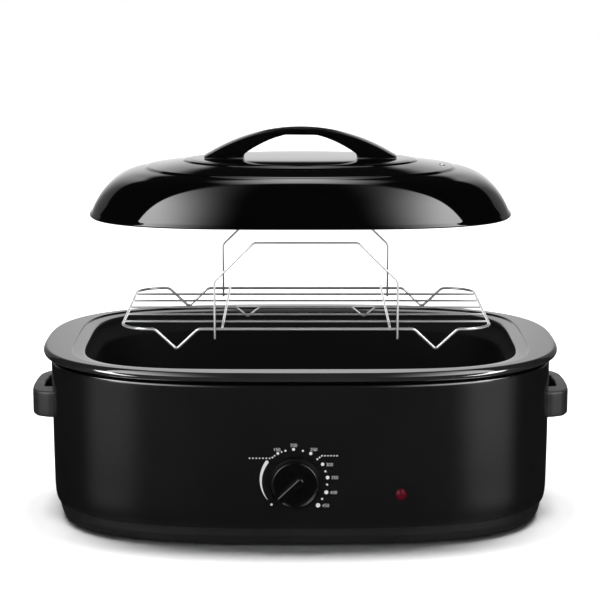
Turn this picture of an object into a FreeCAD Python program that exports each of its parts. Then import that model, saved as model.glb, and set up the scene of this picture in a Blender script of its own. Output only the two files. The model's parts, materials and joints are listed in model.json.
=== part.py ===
import FreeCAD, Part
import math
import os

# Electric roaster oven, 17-litre class. Millimetres, +Z up, origin on the
# standing surface under the middle of the housing, controls facing -Y.
# The lid and the wire rack are stored lifted clear above the pan.

V = FreeCAD.Vector
os.makedirs("parts", exist_ok=True)

# ---------------------------------------------------------------- dimensions
RIM_A, RIM_B, RIM_N = 285.0, 197.0, 2.8      # half width, half depth and squareness of the pan's rolled rim
RIM_Z = 189.5                                # top of the pan flange
CREST_A, CREST_B, CREST_N = 248.0, 170.0, 4.04   # inner end of the flat flange
OPEN_A, OPEN_B, OPEN_N, OPEN_Z = 237.1, 159.0, 4.06, 180.4   # pan mouth
SEAT_A, SEAT_B, SEAT_N, SEAT_Z = 229.0, 151.6, 3.6, 166.4    # foot of the lid's conical seat
FLOOR_A, FLOOR_B, FLOOR_N = 226.5, 149.1, 3.75   # pan wall where it turns into the floor
FLOOR_Z = 40.0                               # inside of the pan floor
PAN_T = 1.0                                  # pan sheet with its enamel
SHELL_T = 0.9                                # housing wall
LID_A, LID_B, LID_N = 230.5, 153.5, 3.2      # lid edge
LID_T = 0.9
LID_Z = 332.8                                # lid edge as stored, lifted
LID_SEAT_Z = 170.9                           # lid edge when it is on the pan
RACK_W, RACK_B, RACK_R = 197.0, 122.0, 30.0  # rack centre-line half width, half depth and corner radius
RACK_X = 6.0                                 # the rack lies a little right of centre
RACK_Z = 222.0                               # rack rails as stored, lifted
WIRE_R = 1.5
KNOB_X, KNOB_Z = -5.5, 71.8                  # knob axis
LAMP_X, LAMP_Z = 105.4, 58.1                 # indicator axis
HANDLE_TOP, HANDLE_BOT = 138.0, 109.0        # side handles
HANDLE_OUT = 299.5                           # outer face of the side handles
FRONT_Y = 207.8                              # knob and cord gland reach equally far from the middle
N_PTS = 72


# ------------------------------------------------------------------- helpers
def outline_xy(A, B, n, u):
    c, s = math.cos(u), math.sin(u)
    k = (abs(c) ** n + abs(s) ** n) ** (-1.0 / n)
    return A * k * c, B * k * s


def half_depth(A, B, n, x):
    """Half depth of an outline at x."""
    return B * (1.0 - min(1.0, abs(x) / A) ** n) ** (1.0 / n)


def half_width(A, B, n, y):
    return A * (1.0 - min(1.0, abs(y) / B) ** n) ** (1.0 / n)


def sec(A, B, n, z):
    pts = []
    for i in range(N_PTS):
        x, y = outline_xy(A, B, n, 2 * math.pi * i / N_PTS)
        pts.append(V(x, y, z))
    b = Part.BSplineCurve()
    b.interpolate(Points=pts, PeriodicFlag=True)
    return Part.Wire([b.toShape()])


def spaced(rows):
    """A flat run of outlines climbs by three hundredths, so that no two neighbours share a level."""
    out = [rows[0]]
    for r in rows[1:]:
        z = r[3]
        if abs(z - out[-1][3]) < 0.03:
            z = out[-1][3] + 0.03
        out.append((r[0], r[1], r[2], z))
    return out


def offset(rows, t):
    """The profile of rows moved t to its left, seen with the half width to the right and z up."""
    out = []
    for i, (A, B, n, z) in enumerate(rows):
        norms = []
        for j in (i - 1, i):
            if 0 <= j < len(rows) - 1:
                da, dz = rows[j + 1][0] - rows[j][0], rows[j + 1][3] - rows[j][3]
                L = math.hypot(da, dz)
                norms.append((-dz / L, da / L))
        na, nz = sum(v[0] for v in norms) / len(norms), sum(v[1] for v in norms) / len(norms)
        q = na * na + nz * nz
        out.append((A + t * na / q, B + t * na / q, n, z + t * nz / q))
    return out


def solid_of(rows):
    """Capped solid through outlines (A, B, n, z)."""
    return Part.makeLoft([sec(*r) for r in spaced(rows)], True, True, False)


def ring_of(rows):
    """Closed ring whose profile runs round the outlines (A, B, n, z)."""
    return Part.makeLoft([sec(*r) for r in spaced(rows)], True, True, True)


def cyl(x, y, z, r, h, axis):
    return Part.makeCylinder(r, h, V(x, y, z), V(*axis))


def box(x0, y0, z0, x1, y1, z1):
    return Part.makeBox(x1 - x0, y1 - y0, z1 - z0, V(x0, y0, z0))


def save(name, shape):
    if isinstance(shape, (list, tuple)):
        shape = Part.makeCompound(list(shape))
    for s in shape.Solids:
        if not s.isValid() or s.Volume <= 0:
            print("BAD", name, s.isValid(), s.Volume)
    if not shape.Solids:
        print("EMPTY", name)
    shape.exportStep("parts/%s.step" % name)
    bb = shape.optimalBoundingBox(True, False)
    print("%-24s solids %2d  vol %10.1f  x %7.1f %7.1f  y %7.1f %7.1f  z %6.1f %6.1f" % (
        name, len(shape.Solids), shape.Volume, bb.XMin, bb.XMax, bb.YMin, bb.YMax, bb.ZMin, bb.ZMax))


def bent_wire(points, bends, r):
    """Round wire along points, each inner corner rounded by a tangent arc of its bend radius."""
    pts = [V(*p) for p in points]
    edges = []
    last = pts[0]
    for i in range(1, len(pts) - 1):
        p, a, b = pts[i], pts[i - 1], pts[i + 1]
        u = (a - p).normalize()
        w = (b - p).normalize()
        ang = math.acos(max(-1.0, min(1.0, u.dot(w))))
        R = bends[i - 1]
        d = R / math.tan(ang / 2.0)
        p1 = p + u * d
        p2 = p + w * d
        bis = (u + w).normalize()
        c = p + bis * (R / math.sin(ang / 2.0))
        mid = c - bis * R
        if (p1 - last).Length > 1e-6:
            edges.append(Part.makeLine(last, p1))
        edges.append(Part.Arc(p1, mid, p2).toShape())
        last = p2
    edges.append(Part.makeLine(last, pts[-1]))
    path = Part.Wire(edges)
    d0 = (pts[1] - pts[0]).normalize()
    prof = Part.Face(Part.Wire([Part.makeCircle(r, pts[0], d0)]))
    s = path.makePipe(prof)
    if s.ShapeType != "Solid":
        s = s.Solids[0]
    return s


def fillet_some(shape, r, test):
    es = [e for e in shape.Edges if test(e)]
    try:
        f = shape.makeFillet(r, es)
        if f.isValid() and f.Volume > 0:
            return f
    except Exception as ex:
        print("fillet skipped", r, ex)
    return shape


# --------------------------------------------------------------- outer shell
# Painted steel wall. Its foot turns inwards for the base screws and its top
# rolls over a shoulder into the lip that carries the heat well.
wall = [
    (250.0, 163.5, 3.30, 20.8), (271.8, 185.4, 3.03, 20.8), (273.4, 186.8, 3.00, 23.0), (274.6, 187.9, 2.98, 30.0),
    (275.6, 188.8, 2.93, 60.0), (276.1, 189.3, 2.90, 110.0), (276.5, 189.6, 2.87, 160.0),
    (276.5, 189.6, 2.87, 168.0), (276.1, 189.2, 2.87, 173.0), (275.0, 188.1, 2.88, 176.3), (273.2, 186.3, 2.90, 178.8),
    (270.6, 183.7, 2.95, 180.6), (267.5, 180.6, 3.05, 181.6), (264.0, 177.1, 3.20, 182.1),
    (258.0, 171.1, 3.60, 182.4),
]
shell = ring_of(wall + list(reversed(offset(wall, SHELL_T))))
BSX, BSY = 150.0, 160.5                       # base screws
HY = 43.0                                     # handle screws sit this far each side of the middle
holes = [cyl(KNOB_X, -200, KNOB_Z, 4.2, 20, (0, 1, 0)),
         cyl(LAMP_X, -200, LAMP_Z, 5.0, 20, (0, 1, 0)),
         cyl(0, 180, 40, 8.0, 20, (0, 1, 0))]
for sx in (-1, 1):
    for sy in (-1, 1):
        holes.append(cyl(sx * 262, sy * HY, 123.0, 2.3, 20, (sx, 0, 0)))
        holes.append(cyl(sx * BSX, sy * BSY, 15, 2.0, 12, (0, 0, 1)))
for h in holes:
    shell = shell.cut(h)
save("outer_shell", shell.Solids[0])

# ------------------------------------------------------------------ heat well
# Aluminised steel liner: its flange lies on the shell's lip, and a raised bead
# on the flange carries the pan.
WELL_T = 0.8
under = [(221.0, 143.0, 3.80, 28.8), (231.0, 153.0, 3.90, 31.0), (237.0, 159.0, 3.95, 36.0), (240.2, 162.2, 4.00, 45.0),
         (246.2, 168.2, 4.00, 182.4), (262.0, 178.5, 3.40, 182.4)]
lining = offset(under[:-1] + [(262.0, 184.0, 3.40, 182.4)], WELL_T)[:-1]
well = solid_of(under + [
    (262.0, 178.5, 3.40, 183.2), (257.5, 177.2, 3.45, 183.2), (257.0, 176.8, 3.45, 187.6),
    (252.0, 173.0, 3.75, 187.6), (251.5, 172.6, 3.75, 183.2)] + list(reversed(lining)))
save("heat_well", well)

# Wrap-round heating band, with its clamp and screw at the back.
def grow(r, d):
    return (r[0] + d, r[1] + d, r[2], r[3])


def well_out(z):
    t = (z - 45.0) / (182.4 - 45.0)
    return (240.2 + 6.0 * t, 162.2 + 6.0 * t, 4.0, z)


band = ring_of([grow(well_out(102), 0.15), grow(well_out(102), 1.4), grow(well_out(150), 1.4), grow(well_out(150), 0.15)])
save("heating_band", band)
blanket = ring_of([grow(well_out(98), 1.7), grow(well_out(98), 9.5), grow(well_out(158), 9.5), grow(well_out(158), 1.7)])
back_y = well_out(126)[1]
blanket = blanket.cut(box(-22, back_y - 4, 90, 22, back_y + 20, 166))
save("insulation_blanket", blanket.Solids[0])
by = back_y + 2.1
clamp = box(-18, by, 112, -6, by + 1.5, 140).fuse(box(6, by, 112, 18, by + 1.5, 140))
clamp = clamp.fuse(box(-7.5, by, 112, -6, by + 11, 140)).fuse(box(6, by, 112, 7.5, by + 11, 140))
clamp = clamp.fuse(cyl(-12, by + 7, 126, 1.9, 24, (1, 0, 0))).fuse(cyl(7.5, by + 7, 126, 3.6, 3.0, (1, 0, 0)))
clamp = clamp.fuse(cyl(-13.2, by + 7, 126, 3.4, 2.6, (1, 0, 0))).removeSplitter()
save("band_clamp", clamp.Solids[0])

# Aluminised plate under the well, hung from it by four dimples.
shield = solid_of([(210, 132, 3.8, 22.6), (224, 146, 3.8, 22.6), (226, 148, 3.8, 25.6), (225, 147, 3.8, 25.6), (223.2, 145.2, 3.8, 23.4), (209.6, 131.6, 3.8, 23.4)])
dimples = [cyl(sx * 150, sy * 90, 23.4, 6.0, 5.4, (0, 0, 1)) for sx in (-1, 1) for sy in (-1, 1)]
for d in dimples:
    shield = shield.fuse(d)
save("heat_shield", shield.removeSplitter().Solids[0])

# ------------------------------------------------------------------ base tray
tray = solid_of([
    (236.0, 155.0, 3.10, 1.6), (263.0, 177.5, 3.05, 1.6), (265.2, 179.7, 3.03, 2.8), (267.4, 181.4, 3.03, 6.0),
    (269.2, 182.9, 3.03, 12.0), (270.2, 183.9, 3.03, 20.6), (268.0, 181.7, 3.03, 20.6), (266.8, 180.6, 3.03, 12.0),
    (265.0, 179.0, 3.03, 7.0), (262.8, 177.0, 3.03, 4.6), (260.0, 174.5, 3.05, 4.0), (236.0, 155.0, 3.10, 4.0)])
for sx in (-1, 1):
    for sy in (-1, 1):
        tray = tray.fuse(cyl(sx * BSX, sy * BSY, 3.0, 5.6, 17.6, (0, 0, 1)))
        tray = tray.cut(cyl(sx * BSX, sy * BSY, -1, 2.1, 30, (0, 0, 1)))
        tray = tray.cut(cyl(sx * BSX, sy * BSY, -1, 4.0, 8.0, (0, 0, 1)))
        tray = tray.cut(cyl(sx * 195, sy * 120.0, -1, 10.2, 4.0, (0, 0, 1)))
# ventilation slots through the tray floor
for ix in range(-4, 5):
    if ix:
        s = box(ix * 26 - 2.5, -45, 0, ix * 26 + 2.5, 45, 6)
        tray = tray.cut(s)
save("base_tray", tray.removeSplitter().Solids[0])
save("base_screws", [cyl(sx * BSX, sy * BSY, 4.6, 3.6, 2.2, (0, 0, 1)).fuse(cyl(sx * BSX, sy * BSY, 6.8, 1.85, 18.2, (0, 0, 1))).removeSplitter().Solids[0]
                     for sx in (-1, 1) for sy in (-1, 1)])
feet = []
for sx in (-1, 1):
    for sy in (-1, 1):
        f = Part.makeCone(8.6, 9.8, 2.2, V(sx * 195, sy * 120, 0)).fuse(cyl(sx * 195, sy * 120, 2.2, 9.8, 0.8, (0, 0, 1)))
        feet.append(f.removeSplitter().Solids[0])
save("foot_pads", feet)

# --------------------------------------------------------------- side handles
envelope = solid_of([grow(r, 0.15) for r in wall[2:8]])


def side_handle(sx):
    plan = [V(262, -57.5, 0), V(277.5, -57, 0), V(294.5, -51, 0), V(HANDLE_OUT, -44.5, 0), V(HANDLE_OUT, 44.5, 0), V(294.5, 51, 0), V(277.5, 57, 0), V(262, 57.5, 0)]
    w = Part.makePolygon(plan + [plan[0]])
    body = Part.Face(w).extrude(V(0, 0, HANDLE_TOP - HANDLE_BOT))
    body.translate(V(0, 0, HANDLE_BOT))
    body = fillet_some(body, 4.5, lambda e: e.BoundBox.ZLength > 20 and e.BoundBox.XMin > 290)
    body = fillet_some(body, 3.0, lambda e: e.BoundBox.ZLength < 1e-4 and e.BoundBox.XMax > 278 and (abs(e.BoundBox.ZMax - HANDLE_TOP) < 1e-3 or abs(e.BoundBox.ZMax - HANDLE_BOT) < 1e-3))
    gap = Part.Face(Part.makePolygon([V(255, -27, 0), V(286.8, -27, 0), V(286.8, 27, 0), V(255, 27, 0), V(255, -27, 0)])).extrude(V(0, 0, 60))
    gap.translate(V(0, 0, 95))
    gap = fillet_some(gap, 4.0, lambda e: e.BoundBox.ZLength > 50 and e.BoundBox.XMin > 280)
    body = body.cut(gap)
    if sx < 0:
        body = body.mirror(V(0, 0, 0), V(1, 0, 0))
    body = body.cut(envelope)
    for sy in (-1, 1):
        body = body.cut(cyl(sx * 262, sy * HY, 123.0, 1.95, 26, (sx, 0, 0)))
    keep = max(body.Solids, key=lambda s: s.Volume)
    return keep


save("side_handle_right", side_handle(1))
save("side_handle_left", side_handle(-1))
screws = []
for sx in (-1, 1):
    for sy in (-1, 1):
        xin = half_width(274.9, 188.1, 2.9, abs(sy * HY) + 4.0)
        head = cyl(sx * (xin - 2.9), sy * HY, 123.0, 3.6, 2.6, (sx, 0, 0))
        shank = cyl(sx * (xin - 0.5), sy * HY, 123.0, 1.9, 14.5, (sx, 0, 0))
        screws.append(head.fuse(shank).removeSplitter().Solids[0])
save("side_handle_screws", screws)

# -------------------------------------------------- thermostat, knob and shaft
yw = -half_depth(274.4, 187.6, 2.93, KNOB_X)          # inside of the front wall at the knob
yo = -half_depth(275.6, 188.8, 2.93, KNOB_X)          # outside of it
bracket = box(KNOB_X - 26, yw + 0.3, KNOB_Z - 17, KNOB_X + 26, yw + 1.5, KNOB_Z + 17)
bracket = bracket.cut(cyl(KNOB_X, yw - 5, KNOB_Z, 5.3, 20, (0, 1, 0)))
tbody = box(KNOB_X - 19, yw + 1.5, KNOB_Z - 15, KNOB_X + 19, yw + 19.0, KNOB_Z + 15)
tbody = tbody.fuse(cyl(KNOB_X, yw - 3.0, KNOB_Z, 5.2, 4.6, (0, 1, 0)).cut(box(-40, -300, 0, 40, yw + 0.2, 200)))
tbody = tbody.cut(cyl(KNOB_X, yw - 10, KNOB_Z, 3.05, 24, (0, 1, 0)))
tscr = []
for sx in (-1, 1):
    bracket = bracket.cut(cyl(KNOB_X + sx * 22.5, yw - 5, KNOB_Z, 1.6, 20, (0, 1, 0)))
    ear = box(KNOB_X + (19 if sx > 0 else -25), yw + 1.5, KNOB_Z - 5, KNOB_X + (25 if sx > 0 else -19), yw + 3.1, KNOB_Z + 5)
    tbody = tbody.fuse(ear)
    tbody = tbody.cut(cyl(KNOB_X + sx * 22.5, yw - 5, KNOB_Z, 1.6, 20, (0, 1, 0)))
    s = cyl(KNOB_X + sx * 22.5, yw + 0.35, KNOB_Z, 1.55, 2.8, (0, 1, 0)).fuse(cyl(KNOB_X + sx * 22.5, yw + 3.1, KNOB_Z, 2.8, 1.8, (0, 1, 0)))
    tscr.append(s.removeSplitter().Solids[0])
save("thermostat_bracket", bracket.Solids[0])
save("thermostat_body", tbody.removeSplitter().Solids[0])
save("thermostat_screws", tscr)
shaft = cyl(KNOB_X, yo - 13.4, KNOB_Z, 3.0, abs(yo - 13.4) - abs(yw) + 10.0, (0, 1, 0))
shaft = shaft.cut(box(KNOB_X - 5, yo - 16, KNOB_Z + 1.6, KNOB_X + 5, yo - 3.0, KNOB_Z + 6))
save("thermostat_shaft", shaft.Solids[0])

KS_R, KF_R = 27.2, 23.8                                # knob skirt and face radii
KY0 = yo - 1.2                                         # back of the knob skirt
GRIP_H = FRONT_Y + KY0 - 8.6                           # the grip stands this far off the face
skirt = Part.makeCone(KS_R, 26.2, 4.2, V(KNOB_X, KY0, KNOB_Z), V(0, -1, 0))
face = Part.makeCone(24.6, KF_R, 6.2, V(KNOB_X, KY0 - 4.2, KNOB_Z), V(0, -1, 0))
knob = skirt.fuse(face)
knob = knob.cut(Part.makeCone(23.0, 21.6, 1.6, V(KNOB_X, KY0 - 8.81, KNOB_Z), V(0, -1, 0)))
ga = math.radians(223.6)                               # pointer points at the first dial mark
gx, gz = math.cos(ga), math.sin(ga)
grip = Part.makeBox(23.6 + 8.0, 8.0, GRIP_H, V(0, 0, 0))
grip.translate(V(-8.0, -4.0, 0))
grip = fillet_some(grip, 3.6, lambda e: abs(e.BoundBox.ZLength) > 8)
grip = fillet_some(grip, 1.2, lambda e: abs(e.BoundBox.ZLength) < 1e-4 and e.BoundBox.ZMax > GRIP_H - 0.1)
# local x along the pointer, local z out of the panel
grip.Placement = FreeCAD.Placement(FreeCAD.Matrix(gx, -gz, 0, KNOB_X, 0, 0, -1, KY0 - 8.6, gz, gx, 0, KNOB_Z, 0, 0, 0, 1))
knob = knob.fuse(grip)
knob = knob.cut(Part.makeCone(24.4, 23.4, 2.6, V(KNOB_X, KY0 + 0.01, KNOB_Z), V(0, -1, 0)).cut(cyl(KNOB_X, KY0 + 1, KNOB_Z, 7.2, 10, (0, -1, 0))))
bore = cyl(KNOB_X, KY0 + 1, KNOB_Z, 3.02, 14.0, (0, -1, 0)).cut(box(KNOB_X - 4, KY0 - 16, KNOB_Z + 1.65, KNOB_X + 4, KY0 - 3.2, KNOB_Z + 4))
knob = knob.cut(bore)
knob = knob.cut(cyl(KNOB_X, KY0 + 0.01, KNOB_Z, 5.2, 3.2, (0, -1, 0)))
save("control_knob", knob.removeSplitter().Solids[0])
clip = cyl(KNOB_X, KY0 - 0.2, KNOB_Z, 5.1, 2.6, (0, -1, 0)).cut(cyl(KNOB_X, KY0 + 1, KNOB_Z, 3.02, 8, (0, -1, 0)))
clip = clip.cut(box(KNOB_X - 1.0, KY0 - 5, KNOB_Z, KNOB_X + 1.0, KY0 + 1, KNOB_Z + 8))
save("knob_clip", clip.Solids[0])

# Sensing bulb of the thermostat, clipped low on the well, and its capillary.
bx = 60.0
bulb = cyl(bx, -166.35, 80.0, 2.6, 46.0, (1, 0, 0))
save("sensor_bulb", bulb)
bclip = box(bx + 12, -170.2, 76.0, bx + 20, -169.0, 85.2).fuse(box(bx + 12, -170.2, 84.0, bx + 20, -163.7, 85.2)).fuse(box(bx + 12, -164.9, 84.0, bx + 20, -163.7, 92.0))
save("bulb_clip", bclip.removeSplitter().Solids[0])
cap = bent_wire([(KNOB_X + 19.0, yw + 10.0, KNOB_Z + 6), (KNOB_X + 34.0, yw + 10.0, KNOB_Z + 6), (44.0, -168.0, 80.0), (bx - 0.05, -166.35, 80.0)], [6.0, 6.0], 0.8)
save("sensor_capillary", cap)

# ------------------------------------------------------------- indicator lamp
lyw = -half_depth(274.4, 187.6, 2.93, LAMP_X)
lyo = -half_depth(275.6, 188.8, 2.93, LAMP_X)
LT = math.degrees(math.atan2(half_depth(275.6, 188.8, 2.93, LAMP_X - 6) - half_depth(275.6, 188.8, 2.93, LAMP_X + 6), 12.0))


def lean(shape):
    """The lamp stands square to the curved panel."""
    shape = shape.copy()
    shape.rotate(V(LAMP_X, lyo, LAMP_Z), V(0, 0, 1), LT)
    return shape


lens = cyl(LAMP_X, lyo - 1.3, LAMP_Z, 6.2, 1.2, (0, 1, 0)).fuse(Part.makeCone(6.2, 2.6, 2.6, V(LAMP_X, lyo - 1.3, LAMP_Z), V(0, -1, 0)))
lens = lens.fuse(cyl(LAMP_X, lyo - 0.6, LAMP_Z, 4.6, 9.0, (0, 1, 0)))
lens = lens.cut(cyl(LAMP_X, lyo + 1.2, LAMP_Z, 3.6, 12.0, (0, 1, 0)))
save("indicator_lens", lean(lens.removeSplitter().Solids[0]))
holder = cyl(LAMP_X, lyo + 1.7, LAMP_Z, 7.6, 3.0, (0, 1, 0)).cut(cyl(LAMP_X, lyw, LAMP_Z, 4.65, 8.0, (0, 1, 0)))
save("lamp_holder", lean(holder))
save("neon_lamp", lean(cyl(LAMP_X, lyo + 1.6, LAMP_Z, 2.6, 11.5, (0, 1, 0))))

# ----------------------------------------------------- terminals and earthing
tb = box(40, 172.0, 50, 74, 186.0, 66)
for i in range(3):
    tb = tb.cut(cyl(46 + 11 * i, 179.0, 60, 2.0, 10, (0, 0, 1)))
save("terminal_block", tb)
tc = cyl(-66, 171.5, 70, 4.0, 26, (1, 0, 0)).fuse(box(-60, 163.55, 66.2, -46, 168.6, 73.8))
save("thermal_cutoff", tc.removeSplitter().Solids[0])
gs = cyl(-92, 176.0, 22.1, 4.2, 2.6, (0, 0, 1)).fuse(cyl(-92, 176.0, 22.1, 2.0, 8.0, (0, 0, 1)))
save("earth_screw", gs.removeSplitter().Solids[0])
# the leads run in the gap between the well and the shell
leads = [
    bent_wire([(1.6, 190, 41.2), (1.6, 174, 41.2), (48.0, 175.0, 42.0), (51.5, 179.0, 45.0), (51.5, 179.0, 49.9)], [5, 3, 2.5], 1.2),
    bent_wire([(-1.6, 190, 41.2), (-1.6, 173.5, 41.2), (-26, 172.0, 58), (-34, 171.5, 70), (-39.9, 171.5, 70)], [5, 5, 3], 1.2),
    bent_wire([(0, 190, 38.2), (0, 177, 38.2), (-60, 176, 35), (-92, 176, 35), (-92, 176, 30.2)], [5, 5, 2.5], 1.0),
]
save("hook_up_leads", leads)
gl = cyl(0, 184.0, 40, 7.9, 7.0, (0, 1, 0)).fuse(cyl(0, 188.8, 40, 11.5, 3.0, (0, 1, 0)))
gl = gl.fuse(Part.makeCone(9.0, 6.4, FRONT_Y - 191.8, V(0, 191.8, 40), V(0, 1, 0))).fuse(cyl(0, 183.4, 40, 10.5, 3.0, (0, 1, 0)))
gl = gl.cut(cyl(0, 175, 40, 3.6, 40, (0, 1, 0)))
save("cord_gland", gl.removeSplitter().Solids[0])

# ---------------------------------------------------------------- roasting pan
pan_in = [
    (209.0, 131.6, 3.60, FLOOR_Z), (214.5, 137.1, 3.65, FLOOR_Z + 0.3), (219.2, 141.8, 3.68, 42.2), (223.5, 146.1, 3.72, 46.2),
    (225.9, 148.5, 3.74, 51.0), (FLOOR_A, FLOOR_B, FLOOR_N, 55.0), (SEAT_A, SEAT_B, SEAT_N, SEAT_Z),
    (OPEN_A, OPEN_B, OPEN_N, OPEN_Z), (CREST_A - 0.7, CREST_B - 0.7, CREST_N, RIM_Z - 0.5), (250.5, 172.4, 4.00, RIM_Z),
    (280.8, 192.8, 2.80, RIM_Z), (282.9, 194.9, 2.80, 188.9), (284.5, 196.5, 2.80, 187.2), (RIM_A, RIM_B, RIM_N, 184.9),
    (284.4, 196.4, 2.80, 182.7), (282.7, 194.7, 2.80, 181.0), (280.3, 192.3, 2.80, 180.4), (278.0, 190.0, 2.80, 181.0)]
# the curl's hollow is wider than the sheet, so the underside is the same profile set off by the sheet's thickness
pan_out = offset(pan_in, -PAN_T)
pan_rows = pan_in + list(reversed(pan_out))
pan = solid_of(pan_rows)
save("roasting_pan", pan)

# ------------------------------------------------------------------- wire rack
rx, rz = RACK_X, RACK_Z
VX, VW, VD = 138.0, 23.0, 20.4


def rail(sy):
    y = sy * RACK_B
    pts = [(-RACK_W, 0, 0), (-RACK_W, y, 0), (-VX - VW, y, 0), (-VX - 1.4, y, -VD), (-VX + 1.4, y, -VD), (-VX + VW, y, 0),
           (VX - VW, y, 0), (VX - 1.4, y, -VD), (VX + 1.4, y, -VD), (VX + VW, y, 0), (RACK_W, y, 0), (RACK_W, 0, 0)]
    pts = [(p[0] + rx, p[1], p[2] + rz) for p in pts]
    bends = [RACK_R, 9.0, 2.6, 2.6, 9.0, 9.0, 2.6, 2.6, 9.0, RACK_R]
    return bent_wire(pts, bends, WIRE_R)


front, back = rail(-1), rail(1)
frame_wire = front.fuse(back)
frame_wire = frame_wire.removeSplitter()
save("rack_frame", frame_wire.Solids[0] if len(frame_wire.Solids) == 1 else [front, back])
LW_R = 1.25
longs = []
step = 2 * RACK_B / 6.0
for i in range(1, 6):
    y = -RACK_B + i * step
    xe = RACK_W - WIRE_R + 0.3
    if abs(y) > RACK_B - RACK_R:
        xe -= RACK_R - math.sqrt(RACK_R ** 2 - (abs(y) - (RACK_B - RACK_R)) ** 2)
    if i == 3:
        pts = [(-xe, y, 0), (-78, y, 0), (-66, y, -9.4), (-64, y, -9.4), (-52, y, 0), (52, y, 0), (64, y, -9.4), (66, y, -9.4), (78, y, 0), (xe, y, 0)]
        longs.append(bent_wire([(p[0] + rx, p[1], p[2] + rz + 0.2) for p in pts], [5.0, 1.6, 1.6, 5.0, 5.0, 1.6, 1.6, 5.0], LW_R))
    else:
        longs.append(cyl(-xe + rx, y, rz + 0.2, LW_R, 2 * xe, (1, 0, 0)))
save("rack_long_wires", longs)
CW = 88.8
cross = [cyl(sx * CW + rx, -RACK_B - 0.6, rz + WIRE_R + LW_R - 0.2, LW_R, 2 * RACK_B + 1.2, (0, 1, 0)) for sx in (-1, 1)]
save("rack_cross_wires", cross)
LEG, LT0, LT1, TOPX = 97.0, 52.0, 93.0, 55.0


def lift_handle(sy):
    y = sy * (RACK_B + WIRE_R + LW_R - 0.2)
    pts = [(-LEG, y, -10.5), (-LEG, y, LT0), (-TOPX, y, LT1), (TOPX, y, LT1), (LEG, y, LT0), (LEG, y, -10.5)]
    return bent_wire([(p[0] + rx, p[1], p[2] + rz) for p in pts], [7.0, 7.0, 7.0, 7.0], LW_R)


save("rack_lift_handle_front", lift_handle(-1))
save("rack_lift_handle_back", lift_handle(1))

# ------------------------------------------------------------------------- lid
lz = LID_Z
DOME_H = 48.2                                        # the round dome ends at this height


def dome_row(h):
    """Outline of the dome at a height above the lid's edge: steep at the edge, and rounding over to the pressed bead."""
    q = h / DOME_H
    return (LID_A - (14.32 * q + 19.59 * q ** 2 + 14.24 * q ** 5 + 8.92 * q ** 16),
            LID_B - (2.79 * q + 12.42 * q ** 2 + 17.49 * q ** 5 + 3.5 * q ** 16),
            LID_N - 0.6 * q - 0.3 * q ** 8, h)


# rolled edge, round dome, pressed bead, shallow flange, and the raised plateau
prof = [(LID_A, LID_B, LID_N, 0.0), (LID_A + 0.8, LID_B + 0.6, LID_N, 1.6), (LID_A - 0.7, LID_B - 0.05, 3.17, 3.4)]
prof += [dome_row(h) for h in (6.5, 13.0, 19.0, 25.5, 32.0, 37.0, 41.0, 44.0, 46.4, DOME_H)]
prof += [(171.0, 115.2, 2.27, 48.7), (169.6, 113.7, 2.26, 50.1), (166.0, 110.0, 2.25, 50.6), (155.0, 101.0, 2.23, 52.25), (143.0, 91.0, 2.20, 54.05),
         (133.0, 82.4, 2.15, 55.4), (130.0, 79.8, 2.12, 55.8), (128.4, 78.4, 2.11, 57.1), (126.0, 76.0, 2.10, 57.5), (122.0, 70.0, 2.15, 57.95),
         (117.5, 62.0, 2.22, 58.3), (113.0, 52.0, 2.35, 58.52), (108.8, 40.0, 2.50, 58.6)]
outer = [(a, b, n, lz + h) for a, b, n, h in prof]
lid_rows = list(reversed(outer))
lid_rows += [(LID_A - 2.6, LID_B - 2.6, LID_N, lz), (LID_A - 2.9, LID_B - 2.9, LID_N, lz + 2.0)]
for a, b, n, h in prof[2:]:
    if h < 30.0:
        d, e = 0.9, 0.25
    elif h < 41.0:
        d, e = 0.75, 0.5
    elif h < 47.0:
        d, e = 0.5, 0.75
    else:
        d, e = 0.1, LID_T
    lid_rows.append((a - d, b - d, n, lz + h - e))
lid = solid_of(lid_rows)
PZ = lz + 58.6                                       # plateau
HX = 84.0                                            # lid handle screws
for sx in (-1, 1):
    lid = lid.cut(cyl(sx * HX, 0, PZ - 6, 2.4, 10, (0, 0, 1)))
lid = lid.cut(cyl(156.0, -15.0, lz + 40, 2.0, 20, (0, 0, 1)))     # steam vent hole
save("lid_shell", lid.Solids[0])

# arched handle: outer arc, and a tighter round arch below it that runs out into two feet
R1 = 195.0                                          # radius of the top of the arch
HEND, HFOOT = 106.0, 62.8                           # ends of the handle and inner ends of its feet
top_z = PZ + 34.0
fz = PZ + 0.05


def z_top(x):
    return top_z - (R1 - math.sqrt(R1 * R1 - x * x))


arc = Part.Arc(V(-HEND, 0, z_top(HEND)), V(0, 0, top_z), V(HEND, 0, z_top(HEND))).toShape()
HARCH = 61.0                                        # the round arch ends here, and its last steps run down to the foot


def z_und(x):
    return fz + 27.85 * (1.0 - (abs(x) / 68.5) ** 1.9)


sb = Part.BSplineCurve()
sb.interpolate(Points=[V(x, 0, z_und(x)) for x in (-HARCH, -56.0, -49.0, -40.0, -29.0, -15.0, 0.0, 15.0, 29.0, 40.0, 49.0, 56.0, HARCH)])
e = [arc, Part.makeLine(V(HEND, 0, z_top(HEND)), V(HEND, 0, fz)), Part.makeLine(V(HEND, 0, fz), V(HFOOT, 0, fz)),
     Part.makeLine(V(HFOOT, 0, fz), V(HARCH, 0, z_und(HARCH))), sb.toShape(), Part.makeLine(V(-HARCH, 0, z_und(HARCH)), V(-HFOOT, 0, fz)),
     Part.makeLine(V(-HFOOT, 0, fz), V(-HEND, 0, fz)), Part.makeLine(V(-HEND, 0, fz), V(-HEND, 0, z_top(HEND)))]
hw = Part.Wire(Part.sortEdges(e)[0])
HWID = 13.0
hb = Part.Face(hw).extrude(V(0, 2 * HWID, 0))
hb.translate(V(0, -HWID, 0))
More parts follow.
